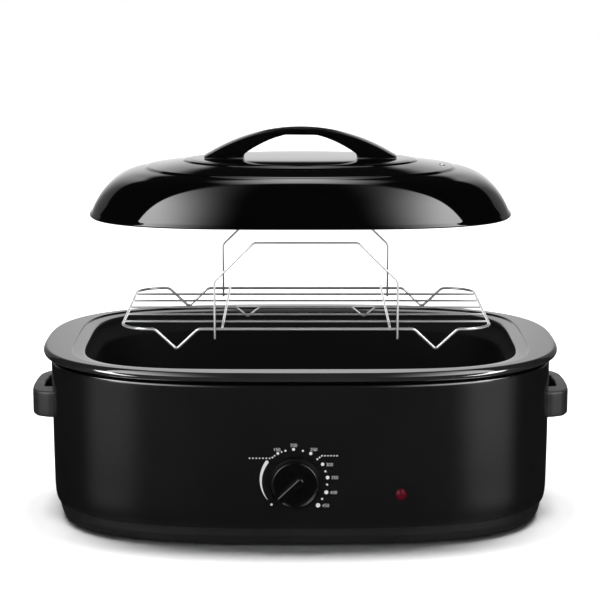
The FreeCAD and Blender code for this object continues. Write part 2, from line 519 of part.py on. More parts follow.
hb = fillet_some(hb, 2.2, lambda ed: ed.BoundBox.XLength > 150 and abs(ed.BoundBox.YLength) < 1e-3 and ed.BoundBox.ZMax > top_z - 1)
for sx in (-1, 1):
    hb = hb.cut(cyl(sx * HX, 0, fz - 1, 1.9, 12, (0, 0, 1)))
save("lid_handle", hb.Solids[0])
save("lid_handle_screws", [cyl(sx * HX, 0, PZ - LID_T - 1.3 - 2.4, 3.6, 2.4, (0, 0, 1)).fuse(cyl(sx * HX, 0, PZ - LID_T - 1.4, 1.85, 11.6, (0, 0, 1))).removeSplitter().Solids[0] for sx in (-1, 1)])
save("lid_handle_washers", [cyl(sx * HX, 0, PZ - LID_T - 1.25, 6.5, 1.2, (0, 0, 1)).cut(cyl(sx * HX, 0, PZ - 10, 2.1, 20, (0, 0, 1))) for sx in (-1, 1)])
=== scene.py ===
import json
import math

import bmesh
import bpy
import numpy as np
from mathutils import Matrix, Vector
from mathutils.geometry import tessellate_polygon

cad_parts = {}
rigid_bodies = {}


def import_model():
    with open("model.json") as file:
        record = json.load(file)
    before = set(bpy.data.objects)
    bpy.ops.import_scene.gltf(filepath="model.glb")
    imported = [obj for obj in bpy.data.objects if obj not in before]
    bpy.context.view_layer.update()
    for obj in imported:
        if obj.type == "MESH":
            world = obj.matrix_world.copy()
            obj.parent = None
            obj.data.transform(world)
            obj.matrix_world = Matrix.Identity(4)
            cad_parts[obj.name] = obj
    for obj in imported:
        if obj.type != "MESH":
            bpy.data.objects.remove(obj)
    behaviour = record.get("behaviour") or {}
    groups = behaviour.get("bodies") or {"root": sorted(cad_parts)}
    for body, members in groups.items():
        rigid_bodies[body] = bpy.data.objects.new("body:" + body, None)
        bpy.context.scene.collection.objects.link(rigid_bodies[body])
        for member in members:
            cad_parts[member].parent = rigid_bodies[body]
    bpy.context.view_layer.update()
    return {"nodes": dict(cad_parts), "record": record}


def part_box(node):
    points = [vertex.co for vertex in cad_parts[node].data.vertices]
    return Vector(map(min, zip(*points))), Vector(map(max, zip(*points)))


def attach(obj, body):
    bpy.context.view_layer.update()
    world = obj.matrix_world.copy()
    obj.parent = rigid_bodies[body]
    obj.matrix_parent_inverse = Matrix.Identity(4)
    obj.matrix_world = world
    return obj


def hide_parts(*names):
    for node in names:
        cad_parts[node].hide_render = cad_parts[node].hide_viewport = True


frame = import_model()
scene = bpy.context.scene

# ------------------------------------------------------------------ materials


def new_mat(name):
    m = bpy.data.materials.new(name)
    m.use_nodes = True
    nt = m.node_tree
    bsdf = nt.nodes["Principled BSDF"]
    return m, nt, bsdf


def set_in(bsdf, **kw):
    names = {"metallic": "Metallic", "ior": "IOR", "coat": "Coat Weight", "coat_rough": "Coat Roughness", "spec": "Specular IOR Level",
             "sheen": "Sheen Weight", "trans": "Transmission Weight", "alpha": "Alpha", "sss": "Subsurface Weight", "aniso": "Anisotropic"}
    for k, v in kw.items():
        bsdf.inputs[names[k]].default_value = v


def noise(nt, scale, detail=3.0, rough=0.5, x=-900, y=0, coord=None):
    if coord is None:
        coord = nt.nodes.new("ShaderNodeTexCoord")
        coord.location = (x - 200, y)
    n = nt.nodes.new("ShaderNodeTexNoise")
    n.location = (x, y)
    n.inputs["Scale"].default_value = scale
    n.inputs["Detail"].default_value = detail
    n.inputs["Roughness"].default_value = rough
    nt.links.new(coord.outputs["Object"], n.inputs["Vector"])
    return n, coord


def ramp_value(nt, src, lo, hi, a=0.3, b=0.7, x=-650, y=0):
    r = nt.nodes.new("ShaderNodeMapRange")
    r.location = (x, y)
    r.inputs["From Min"].default_value = a
    r.inputs["From Max"].default_value = b
    r.inputs["To Min"].default_value = lo
    r.inputs["To Max"].default_value = hi
    nt.links.new(src, r.inputs["Value"])
    return r.outputs["Result"]


def mix_colour(nt, fac, c1, c2, x=-400, y=200):
    m = nt.nodes.new("ShaderNodeMix")
    m.data_type = "RGBA"
    m.location = (x, y)
    nt.links.new(fac, m.inputs[0])
    m.inputs[6].default_value = (*c1, 1)
    m.inputs[7].default_value = (*c2, 1)
    return m.outputs[2]


def bump(nt, src, strength, distance, x=-250, y=-300, prev=None):
    b = nt.nodes.new("ShaderNodeBump")
    b.location = (x, y)
    b.inputs["Strength"].default_value = strength
    b.inputs["Distance"].default_value = distance
    nt.links.new(src, b.inputs["Height"])
    if prev is not None:
        nt.links.new(prev, b.inputs["Normal"])
    return b.outputs["Normal"]


def coated(name, c1, c2, r_lo, r_hi, large=9.0, grain=700.0, grain_d=0.00002, grain_s=0.15, wave=30.0, wave_d=0.0, **kw):
    """Paint, enamel or moulded plastic: slow colour and gloss drift, a fine surface grain, and a long soft wave."""
    m, nt, b = new_mat(name)
    set_in(b, **kw)
    n1, co = noise(nt, large, 4.0, 0.55, y=250)
    fac = ramp_value(nt, n1.outputs["Fac"], 0.0, 1.0, 0.35, 0.65, y=250)
    nt.links.new(mix_colour(nt, fac, c1, c2), b.inputs["Base Color"])
    n2, _ = noise(nt, large * 7.0, 5.0, 0.6, y=0, coord=co)
    nt.links.new(ramp_value(nt, n2.outputs["Fac"], r_lo, r_hi, 0.3, 0.7, y=0), b.inputs["Roughness"])
    n3, _ = noise(nt, grain, 2.0, 0.5, y=-300, coord=co)
    nrm = bump(nt, n3.outputs["Fac"], grain_s, grain_d)
    if wave_d:
        n4, _ = noise(nt, wave, 1.0, 0.4, y=-520, coord=co)
        nrm = bump(nt, n4.outputs["Fac"], 1.0, wave_d, y=-520, prev=nrm)
    nt.links.new(nrm, b.inputs["Normal"])
    return m


def metal(name, c1, c2, r_lo, r_hi, large=40.0, stretch=None, grain=900.0, grain_s=0.1, **kw):
    m, nt, b = new_mat(name)
    set_in(b, metallic=1.0, **kw)
    co = nt.nodes.new("ShaderNodeTexCoord")
    mp = nt.nodes.new("ShaderNodeMapping")
    mp.inputs["Scale"].default_value = stretch or (1, 1, 1)
    nt.links.new(co.outputs["Object"], mp.inputs["Vector"])
    n1 = nt.nodes.new("ShaderNodeTexNoise")
    n1.inputs["Scale"].default_value = large
    n1.inputs["Detail"].default_value = 4
    nt.links.new(mp.outputs["Vector"], n1.inputs["Vector"])
    fac = ramp_value(nt, n1.outputs["Fac"], 0, 1, 0.35, 0.65)
    nt.links.new(mix_colour(nt, fac, c1, c2), b.inputs["Base Color"])
    nt.links.new(ramp_value(nt, n1.outputs["Fac"], r_lo, r_hi, y=-150), b.inputs["Roughness"])
    n3 = nt.nodes.new("ShaderNodeTexNoise")
    n3.inputs["Scale"].default_value = grain
    nt.links.new(mp.outputs["Vector"], n3.inputs["Vector"])
    nt.links.new(bump(nt, n3.outputs["Fac"], grain_s, 0.00002), b.inputs["Normal"])
    return m


M = {}
M["pan_enamel"] = coated("pan_enamel", (0.0095, 0.0095, 0.0100), (0.0125, 0.0125, 0.0130), 0.03, 0.06, grain=450.0, grain_s=0.05, grain_d=0.00001, ior=1.5)
# the pan's inside: a copy of the pan enamel with its reflection turned down, so the hollow reads dark: painted shade
# inside the pan
M["pan_inside_painted_shade"] = coated("pan_inside_painted_shade", (0.0100, 0.0100, 0.0103), (0.0120, 0.0120, 0.0123), 0.40, 0.48, grain=450.0, grain_s=0.10, grain_d=0.00001, ior=1.2, spec=0.05)
M["lid_enamel"] = coated("lid_enamel", (0.0006, 0.0006, 0.0007), (0.0010, 0.0010, 0.0011), 0.02, 0.045, grain=450.0, grain_s=0.04, grain_d=0.00001, ior=1.5)
M["shell_paint"] = coated("shell_paint", (0.0040, 0.0040, 0.0041), (0.0049, 0.0049, 0.0050), 0.15, 0.20, grain=1100.0, grain_s=0.08, ior=1.5)
M["tray_plastic"] = coated("tray_plastic", (0.0030, 0.0030, 0.0031), (0.0042, 0.0042, 0.0043), 0.40, 0.50, grain=1400.0, grain_s=0.35, ior=1.46)
M["handle_plastic"] = coated("handle_plastic", (0.0100, 0.0100, 0.0104), (0.0135, 0.0135, 0.0138), 0.40, 0.48, grain=1500.0, grain_s=0.35, ior=1.46)
M["lid_handle_plastic"] = coated("lid_handle_plastic", (0.0012, 0.0012, 0.0013), (0.0019, 0.0019, 0.0020), 0.10, 0.16, grain=900.0, grain_s=0.08, ior=1.48)
M["knob_plastic"] = coated("knob_plastic", (0.0016, 0.0016, 0.0017), (0.0024, 0.0024, 0.0025), 0.13, 0.17, grain=1200.0, grain_s=0.10, ior=1.46, spec=0.35)
M["knob_side"] = coated("knob_side", (0.0014, 0.0014, 0.0015), (0.0021, 0.0021, 0.0022), 0.40, 0.48, grain=1500.0, grain_s=0.30, ior=1.46, spec=0.05)
M["rack_chrome"] = metal("rack_chrome", (0.54, 0.54, 0.55), (0.46, 0.46, 0.47), 0.17, 0.25, large=60.0)
for n in M["rack_chrome"].node_tree.nodes:
    if n.type == "BSDF_PRINCIPLED":
        n.inputs["Metallic"].default_value = 0.58  # dull plated wire: the plating is thin and slightly hazed
M["aluminised_steel"] = metal("aluminised_steel", (0.55, 0.55, 0.56), (0.44, 0.44, 0.45), 0.30, 0.45, stretch=(1, 1, 14))
M["heater_steel"] = metal("heater_steel", (0.42, 0.40, 0.38), (0.30, 0.29, 0.28), 0.40, 0.55)
M["zinc_steel"] = metal("zinc_steel", (0.62, 0.62, 0.62), (0.52, 0.52, 0.53), 0.22, 0.35)
M["shield_aluminium"] = metal("shield_aluminium", (0.78, 0.78, 0.79), (0.70, 0.70, 0.71), 0.25, 0.38, stretch=(18, 1, 1))
M["copper_alloy"] = metal("copper_alloy", (0.75, 0.45, 0.30), (0.66, 0.36, 0.22), 0.22, 0.35)
M["brass_screw"] = metal("brass_screw", (0.72, 0.56, 0.27), (0.62, 0.47, 0.20), 0.25, 0.38)
M["glass_fibre"] = coated("glass_fibre", (0.80, 0.77, 0.66), (0.66, 0.62, 0.50), 0.85, 0.95, large=60.0, grain=900.0, grain_s=1.0, grain_d=0.0004)
M["foot_rubber"] = coated("foot_rubber", (0.014, 0.014, 0.014), (0.022, 0.022, 0.022), 0.60, 0.75, grain=1600.0, grain_s=0.4)
M["lead_silicone"] = coated("lead_silicone", (0.50, 0.50, 0.47), (0.60, 0.60, 0.57), 0.40, 0.50, grain=1600.0, grain_s=0.2)
M["phenolic"] = coated("phenolic", (0.060, 0.028, 0.016), (0.085, 0.042, 0.024), 0.35, 0.50, grain=1500.0, grain_s=0.3)
M["white_plastic"] = coated("white_plastic", (0.72, 0.72, 0.68), (0.78, 0.78, 0.75), 0.35, 0.45, grain=1500.0, grain_s=0.2)
M["red_lens"] = coated("red_lens", (0.044, 0.0009, 0.0046), (0.062, 0.0013, 0.0066), 0.28, 0.36, grain=600.0, grain_s=0.05, ior=1.50, spec=0.08)
M["lamp_glass"] = coated("lamp_glass", (0.90, 0.78, 0.66), (0.94, 0.82, 0.70), 0.02, 0.05, grain=600.0, grain_s=0.02, trans=0.9, ior=1.5)
M["dial_print"] = coated("dial_print", (0.46, 0.46, 0.46), (0.54, 0.54, 0.54), 0.45, 0.60, grain=2500.0, grain_s=0.3)

for node, ob in frame["nodes"].items():
    slot = [s["material_slot"] for s in frame["record"]["subparts"] if s["node"] == node][0]
    ob.data.materials.clear()
    ob.data.materials.append(M[slot])

# ------------------------------------------------------------------- geometry
N = 360
MM = 0.001


def outline(A, B, n, N=N):
    """Superellipse outline, evenly spaced along its length, starting on +X."""
    u = np.linspace(0, 2 * np.pi, 4097)
    c, s = np.cos(u), np.sin(u)
    k = (np.abs(c) ** n + np.abs(s) ** n) ** (-1.0 / n)
    x, y = A * k * c, B * k * s
    d = np.concatenate([[0], np.cumsum(np.hypot(np.diff(x), np.diff(y)))])
    t = np.linspace(0, d[-1], N, endpoint=False)
    return np.interp(t, d, x), np.interp(t, d, y)


def half_depth(A, B, n, x):
    return B * (1.0 - min(1.0, abs(x) / A) ** n) ** (1.0 / n)


def smooth_rows(rows, k=5):
    """Catmull-Rom through rows of numbers, k steps a span."""
    r = np.array(rows, float)
    if len(r) < 3:
        return [tuple(v) for v in r]
    p = np.vstack([2 * r[0] - r[1], r, 2 * r[-1] - r[-2]])
    out = []
    for i in range(1, len(p) - 2):
        d = [max(1e-9, np.linalg.norm((p[j + 1] - p[j])[[0, -1]]) ** 0.5) for j in (i - 1, i, i + 1)]
        t0 = 0.0
        t1, t2, t3 = d[0], d[0] + d[1], d[0] + d[1] + d[2]
        for j in range(k):
            t = t1 + (t2 - t1) * j / k
            a1 = (t1 - t) / (t1 - t0) * p[i - 1] + (t - t0) / (t1 - t0) * p[i]
            a2 = (t2 - t) / (t2 - t1) * p[i] + (t - t1) / (t2 - t1) * p[i + 1]
            a3 = (t3 - t) / (t3 - t2) * p[i + 1] + (t - t2) / (t3 - t2) * p[i + 2]
            b1 = (t2 - t) / (t2 - t0) * a1 + (t - t0) / (t2 - t0) * a2
            b2 = (t3 - t) / (t3 - t1) * a2 + (t - t1) / (t3 - t1) * a3
            out.append(tuple((t2 - t) / (t2 - t1) * b1 + (t - t1) / (t2 - t1) * b2))
    out.append(tuple(r[-1]))
    return out


def offset_rows(rows, t):
    out = []
    for i, (A, B, n, z) in enumerate(rows):
        norms = []
        for j in (i - 1, i):
            if 0 <= j < len(rows) - 1:
                da, dz = rows[j + 1][0] - rows[j][0], rows[j + 1][3] - rows[j][3]
                L = math.hypot(da, dz) or 1e-9
                norms.append((-dz / L, da / L))
        na, nz = sum(v[0] for v in norms) / len(norms), sum(v[1] for v in norms) / len(norms)
        q = max(0.35, na * na + nz * nz)
        out.append((A + t * na / q, B + t * na / q, n, z + t * nz / q))
    return out


def mesh_object(name, verts, faces, smooth=True, sharp_angle=None):
    me = bpy.data.meshes.new(name)
    me.from_pydata([tuple(float(c) for c in v) for v in verts], [], faces)
    me.update()
    bm = bmesh.new()
    bm.from_mesh(me)
    bmesh.ops.recalc_face_normals(bm, faces=bm.faces)
    if sharp_angle is not None:
        for e in bm.edges:
            if len(e.link_faces) == 2 and e.calc_face_angle(0.0) > math.radians(sharp_angle):
                e.smooth = False
    for f in bm.faces:
        f.smooth = smooth
    bm.to_mesh(me)
    bm.free()
    ob = bpy.data.objects.new(name, me)
    scene.collection.objects.link(ob)
    return ob


def ring_mesh(name, rows, closed=False, sharp_angle=32.0, n_pts=N):
    """Outlines (A, B, n, z) in millimetres joined into one closed skin."""
    verts, faces = [], []
    for A, B, n, z in rows:
        x, y = outline(A, B, n, n_pts)
        verts += [(a * MM, b * MM, z * MM) for a, b in zip(x, y)]
    R = len(rows)
    for i in range(R if closed else R - 1):
        j = (i + 1) % R
        for k in range(n_pts):
            l = (k + 1) % n_pts
            faces.append((i * n_pts + k, i * n_pts + l, j * n_pts + l, j * n_pts + k))
    if not closed:
        faces.append(tuple(range(n_pts - 1, -1, -1)))
        faces.append(tuple((R - 1) * n_pts + k for k in range(n_pts)))
    return mesh_object(name, verts, faces, True, sharp_angle)


def finish_piece(ob, body, mat, *nodes):
    ob.data.materials.clear()
    ob.data.materials.append(M[mat])
    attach(ob, body)
    if nodes:
        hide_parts(*nodes)
    return ob


# ---- outer shell
lower = [(250.0, 163.5, 3.30, 20.8), (271.2, 184.8, 3.04, 20.8)]
foot = smooth_rows([(271.2, 184.8, 3.04, 20.8), (272.5, 186.0, 3.01, 21.4), (273.4, 186.8, 3.00, 23.0), (274.6, 187.9, 2.98, 30.0), (275.6, 188.8, 2.93, 60.0), (276.1, 189.3, 2.90, 110.0), (276.5, 189.6, 2.87, 160.0),
                    (276.5, 189.6, 2.87, 172.4), (276.35, 189.45, 2.87, 173.9), (275.8, 188.9, 2.88, 175.1), (274.8, 187.9, 2.89, 175.8),
                    (273.0, 186.1, 2.92, 176.1), (270.0, 183.1, 2.97, 176.4), (268.4, 181.5, 3.02, 177.2), (267.8, 180.9, 3.05, 179.0), (267.2, 180.3, 3.07, 181.2), (264.5, 177.6, 3.18, 182.2), (258.0, 171.1, 3.60, 182.4)], 5)
wall = lower[:1] + foot
shell = ring_mesh("housing_shell", wall + list(reversed(offset_rows(wall, 0.9))), closed=True)
finish_piece(shell, "housing", "shell_paint", "outer_shell")

# ---- roasting pan
inner = [(120.0, 70.0, 3.2, 40.0), (205.0, 127.6, 3.6, 40.0)]
inner += smooth_rows([(209.0, 131.6, 3.60, 40.0), (214.5, 137.1, 3.65, 40.3), (219.2, 141.8, 3.68, 42.2), (223.5, 146.1, 3.72, 46.2), (225.9, 148.5, 3.74, 51.0), (226.5, 149.1, 3.75, 56.0)], 4)
inner += [(228.9, 151.5, 3.60, 164.5)]
inner += smooth_rows([(229.2, 151.8, 3.61, 166.4), (230.2, 152.7, 3.66, 168.4), (232.9, 155.2, 3.84, 173.3), (235.6, 157.7, 4.02, 180.0), (236.2, 158.3, 4.05, 183.2), (236.7, 158.9, 4.06, 185.2),
                      (237.8, 160.0, 4.06, 186.6), (239.6, 161.8, 4.05, 187.05), (244.2, 166.3, 4.04, 187.5), (248.6, 170.6, 4.02, 187.9)], 3)
inner += smooth_rows([(249.3, 171.3, 4.02, 187.96), (249.8, 171.75, 4.01, 188.02), (250.15, 172.05, 4.00, 188.35), (250.5, 172.4, 3.99, 189.15), (250.8, 172.65, 3.985, 189.42), (251.7, 173.5, 3.97, 189.5)], 3)
flange = []
for i in range(1, 9):
    t = i / 8.0
    flange.append((251.7 + (280.4 - 251.7) * t, 173.5 + (192.4 - 173.5) * t, 3.97 + (2.80 - 3.97) * t ** 0.9, 189.5))
roll = [(280.4 + 4.6 * math.cos(math.radians(a)), 192.4 + 4.6 * math.cos(math.radians(a)), 2.80, 184.9 + 4.6 * math.sin(math.radians(a))) for a in range(80, -151, -10)]
top_side = inner + flange + roll
curl = [(280.4 + 3.6 * math.cos(math.radians(a)), 192.4 + 3.6 * math.cos(math.radians(a)), 2.80, 184.9 + 3.6 * math.sin(math.radians(a))) for a in range(-150, 91, 15)]
under = [(265.0, 182.6, 3.35, 188.5), (252.0, 173.8, 3.97, 188.5), (250.4, 172.3, 4.00, 187.6), (244.3, 166.4, 4.04, 186.85), (240.3, 162.5, 4.05, 186.3), (238.4, 160.6, 4.06, 185.6), (237.5, 159.7, 4.06, 184.2),
         (237.0, 159.1, 4.05, 182.0), (236.5, 158.6, 4.02, 179.6), (233.8, 156.1, 3.84, 172.9), (230.2, 152.8, 3.62, 166.0),
         (227.5, 150.1, 3.75, 56.0), (226.9, 149.5, 3.74, 50.8), (224.4, 147.0, 3.72, 45.6), (219.9, 142.5, 3.68, 41.3), (214.8, 137.4, 3.65, 39.4), (209.0, 131.6, 3.60, 39.0), (120.0, 70.0, 3.2, 39.0)]
pan = ring_mesh("enamel_pan", top_side + curl + under, sharp_angle=38.0)
finish_piece(pan, "pan", "pan_enamel", "roasting_pan")
# the floor and inner walls of the pan take the dulled copy: painted shade in the pan's hollow
pan.data.materials.append(M["pan_inside_painted_shade"])
for f in pan.data.polygons:
    if (f.center.z < 0.1640 and f.normal.z > 0.7) or (f.center.z < 0.1864 and f.normal.x * f.center.x + f.normal.y * f.center.y < 0):
        f.material_index = 1

# ---- lid
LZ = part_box("lid_shell")[0].z / MM
LA, LB, LN = 230.5, 153.5, 3.2


def lid_rows(rows, k):
    """Rows of (half width, half depth, squareness, height over the lid's edge) as smooth outlines."""
    return smooth_rows([(a, b, n, LZ + h) for a, b, n, h in rows], k)


DOME_H = 48.2


def dome_row(h):
    """Outline of the dome: steep at the edge, and rounding over to the pressed bead."""
    q = h / DOME_H
    return (LA - (14.32 * q + 19.59 * q ** 2 + 14.24 * q ** 5 + 8.92 * q ** 16),
            LB - (2.79 * q + 12.42 * q ** 2 + 17.49 * q ** 5 + 3.5 * q ** 16), LN - 0.6 * q - 0.3 * q ** 8, h)


edge = lid_rows([(LA, LB, LN, 0.3), (LA + 0.65, LB + 0.45, LN, 0.95), (LA + 0.8, LB + 0.6, LN, 1.7), (LA + 0.2, LB + 0.35, 3.18, 2.7), (LA - 0.75, LB - 0.08, 3.17, 3.6), dome_row(4.6)], 4)
dome = [tuple(r[:3]) + (LZ + r[3],) for r in [dome_row(DOME_H - (DOME_H - 4.6) * (1.0 - s / 54.0) ** 1.7) for s in range(1, 55)]]
bead = lid_rows([dome_row(DOME_H), (172.6, 116.5, 2.29, 48.43), (171.3, 115.25, 2.28, 48.86), (170.4, 114.4, 2.275, 49.18), (170.12, 114.15, 2.27, 49.44), (169.3, 113.35, 2.265, 49.78), (168.0, 112.0, 2.255, 50.22), (166.5, 110.5, 2.25, 50.50)], 4)
mid = lid_rows([(166.5, 110.5, 2.25, 50.50), (155.0, 101.0, 2.23, 52.25), (143.0, 91.0, 2.20, 54.05), (134.0, 83.3, 2.15, 55.30), (131.6, 81.2, 2.13, 55.60)], 4)
step_up = lid_rows([(131.6, 81.2, 2.13, 55.60), (130.5, 80.25, 2.125, 55.82), (129.5, 79.3, 2.12, 56.17), (129.22, 79.05, 2.118, 56.43), (128.4, 78.25, 2.11, 56.77), (126.8, 76.6, 2.105, 57.24), (125.0, 74.4, 2.11, 57.48)], 4)
crown = lid_rows([(125.0, 74.4, 2.11, 57.48), (122.0, 70.0, 2.15, 57.95), (117.5, 62.0, 2.22, 58.30), (113.0, 52.0, 2.35, 58.52), (108.8, 40.0, 2.50, 58.60)], 4)
prof = edge[:-1] + [tuple(dome_row(4.6)[:3]) + (LZ + 4.6,)] + dome + bead[1:] + mid[1:] + step_up[1:] + crown[1:]
outer = prof + [(87.0, 31.0, 2.5, LZ + 58.6), (46.0, 17.0, 2.5, LZ + 58.6)]
inside = [(LA - d, LB - d, LN, LZ + h) for d, h in ((1.2, 0.0), (2.3, 0.25), (2.7, 1.2), (2.2, 2.6))]
for A0, B0, n0, z0 in prof[18::3]:
    h = z0 - LZ
    d, e = (0.9, 0.25) if h < 30.0 else (0.75, 0.5) if h < 41.0 else (0.5, 0.75) if h < 47.0 else (0.1, 0.9)
    inside.append((A0 - d, B0 - d, n0, z0 - e))
inside += [(87.0, 31.0, 2.5, LZ + 57.7), (46.0, 17.0, 2.5, LZ + 57.7)]
lid = ring_mesh("lid_dome", list(reversed(outer)) + inside, sharp_angle=50.0)
finish_piece(lid, "lid", "lid_enamel", "lid_shell")


# ---- slabs with rounded rims: a closed plan or side profile, drawn in slices
def fillet_poly(points, radii, seg=7):
    """Closed polygon with each corner rounded."""
    out = []
    n = len(points)
    for i in range(n):
        p, a, b = np.array(points[i], float), np.array(points[i - 1], float), np.array(points[(i + 1) % n], float)
        r = radii[i]
        if r <= 0:
            out.append(tuple(p))
            continue
        u, w = (a - p) / np.linalg.norm(a - p), (b - p) / np.linalg.norm(b - p)
        ang = math.acos(max(-1, min(1, float(u @ w))))
        d = r / math.tan(ang / 2)
        bis = (u + w) / np.linalg.norm(u + w)
        c = p + bis * (r / math.sin(ang / 2))
        s, e = p + u * d - c, p + w * d - c
        a0, a1 = math.atan2(s[1], s[0]), math.atan2(e[1], e[0])
        da = (a1 - a0 + math.pi) % (2 * math.pi) - math.pi
        for j in range(seg + 1):
            t = a0 + da * j / seg
            out.append((c[0] + r * math.cos(t), c[1] + r * math.sin(t)))
    return out


def densify(pts, step):
    out = []
    n = len(pts)
    for i in range(n):
        a, b = np.array(pts[i]), np.array(pts[(i + 1) % n])
        L = np.linalg.norm(b - a)
        k = max(1, int(round(L / step)))
        for j in range(k):
            out.append(tuple(a + (b - a) * j / k))
    return out


# ---- lid handle
PZ = LZ + 58.6
TOP = PZ + 34.0
RA = 195.0


def z_top(x):
    return TOP - (RA - math.sqrt(RA * RA - x * x))


tops = [(x, z_top(x)) for x in np.linspace(105.2, -105.2, 65)]
FZ = PZ + 0.05


def z_und(x):
    return FZ + 27.85 * (1.0 - (abs(x) / 68.5) ** 1.9)


und = [(x, z_und(x)) for x in np.linspace(-60.6, 60.6, 61)]
step_r = [(61.25, z_und(60.6) - 0.95), (61.75, FZ + 3.7), (62.3, FZ + 1.7), (62.6, FZ + 0.6), (62.9, FZ + 0.12)]
side = [(105.2, z_top(105.2))] + tops[1:-1] + [(-105.2, z_top(105.2)), (-105.75, z_top(105.9) - 0.25), (-106.0, z_top(106.0) - 0.9), (-106.0, FZ + 0.5), (-105.5, FZ), (-90.0, FZ), (-75.0, FZ), (-63.4, FZ)]
side += [(-x, z) for x, z in reversed(step_r)] + und + step_r + [(63.4, FZ), (75.0, FZ), (90.0, FZ), (105.5, FZ), (106.0, FZ + 0.5), (106.0, z_top(106.0) - 0.9), (105.75, z_top(105.9) - 0.25)]
if sum(side[i - 1][0] * side[i][1] - side[i][0] * side[i - 1][1] for i in range(len(side))) < 0:
    side = list(reversed(side))


def handle_groove(q, p, nrm):
    """A fine groove along both upper edges, and a slight crown."""
    g = 0.55 * math.exp(-((abs(q) - 9.9) / 0.42) ** 2)
    crown = 0.7 * (abs(q) / 13.0) ** 2
    w = np.clip((nrm[:, 1] - 0.3) / 0.4, 0, 1) * np.clip((105.0 - np.abs(p[:, 0])) / 4.0, 0, 1)
    return (g + crown) * w


def slab_levels(lo, hi, r, steps, inner_levels):
    lv = [(lo + r * (1 - math.cos(math.radians(90.0 * i / steps))), r * (1 - math.sin(math.radians(90.0 * i / steps)))) for i in range(steps + 1)]
    up = [(hi - (q - lo), d) for q, d in reversed(lv)]
    return lv + [(q, 0.0) for q in inner_levels] + up


def slab(name, pts, levels, to_xyz, extra=None, sharp_angle=40.0, keep_flat=None):
    """keep_flat: a direction whose faces take no rounding, such as a base that sits on something."""
    p = np.array(pts, float)
    t = np.roll(p, -1, 0) - np.roll(p, 1, 0)
    t /= np.linalg.norm(t, axis=1)[:, None]
    nrm = np.stack([t[:, 1], -t[:, 0]], 1)
    w = np.ones(len(p))
    if keep_flat is not None:
        w = 1.0 - np.clip((nrm @ np.array(keep_flat, float) - 0.25) / 0.5, 0, 1)
    tris = [tuple(q) for q in tessellate_polygon([[Vector((float(a), float(b), 0.0)) for a, b in p]])]
    verts, faces = [], []
    n = len(p)
    for q, d in levels:
        dd = np.full(n, float(d)) * w
        if extra is not None:
            dd = dd + extra(q, p, nrm)
        v = p - nrm * dd[:, None]
        verts += [to_xyz(a, b, q) for a, b in v]
    for i in range(len(levels) - 1):
        for k in range(n):
            l = (k + 1) % n
            faces.append((i * n + k, i * n + l, (i + 1) * n + l, (i + 1) * n + k))
    o = (len(levels) - 1) * n
    faces += [tuple(reversed(q)) for q in tris] + [tuple(o + k for k in q) for q in tris]
    return mesh_object(name, verts, faces, True, sharp_angle)


grv = [-11.0, -10.6, -10.25, -9.9, -9.55, -9.2, -8.8, -7.5, -5.0, -2.5, 0.0, 2.5, 5.0, 7.5, 8.8, 9.2, 9.55, 9.9, 10.25, 10.6, 11.0]
grommet_at = (156.0, -15.0, LZ + 52.35)
hb = slab("lid_arch_handle", side, slab_levels(-13.0, 13.0, 1.5, 6, grv), lambda a, b, q: (a * MM, q * MM, b * MM), handle_groove, 42.0, keep_flat=(0, -1))
finish_piece(hb, "lid", "lid_handle_plastic", "lid_handle")

# ---- side handles
for sx, nm in ((1, "right"), (-1, "left")):
    plan = fillet_poly([(270.0, -57.6), (279.0, -57.2), (292.0, -51.0), (297.9, -37.0), (299.5, -13.0), (299.5, 13.0), (297.9, 37.0), (292.0, 51.0), (279.0, 57.2), (270.0, 57.6),
                        (270.0, 27.0), (285.6, 27.0), (287.6, 0.0), (285.6, -27.0), (270.0, -27.0)],
                       [0, 14, 14, 30, 60, 60, 30, 14, 14, 0, 0, 4.5, 60, 4.5, 0])
    plan = densify(plan, 4.0)
    if sum(plan[i - 1][0] * plan[i][1] - plan[i][0] * plan[i - 1][1] for i in range(len(plan))) < 0:
        plan = list(reversed(plan))
    h = slab("side_grip_" + nm, plan, slab_levels(109.0, 138.0, 2.6, 6, [116.0, 123.5, 131.0]), lambda a, b, q, sx=sx: (sx * a * MM, b * MM, q * MM), None, 42.0)
    finish_piece(h, "housing", "handle_plastic", "side_handle_" + nm)


# ---- wires
def wire_path(points, bends, seg=10):
    pts = [Vector(p) for p in points]
    out = [pts[0]]
    for i in range(1, len(pts) - 1):
        p, a, b = pts[i], pts[i - 1], pts[i + 1]
        u, w = (a - p).normalized(), (b - p).normalized()
        ang = u.angle(w)
        R = bends[i - 1]
        d = R / math.tan(ang / 2)
        bis = (u + w).normalized()
        c = p + bis * (R / math.sin(ang / 2))
        s, e = p + u * d - c, p + w * d - c
        ax = s.cross(e).normalized()
        tot = s.angle(e)
        k = max(3, int(seg * tot / (math.pi / 2)) + 2)
        for j in range(k + 1):
            out.append(c + (Matrix.Rotation(tot * j / k, 3, ax) @ s))
    out.append(pts[-1])
    return out


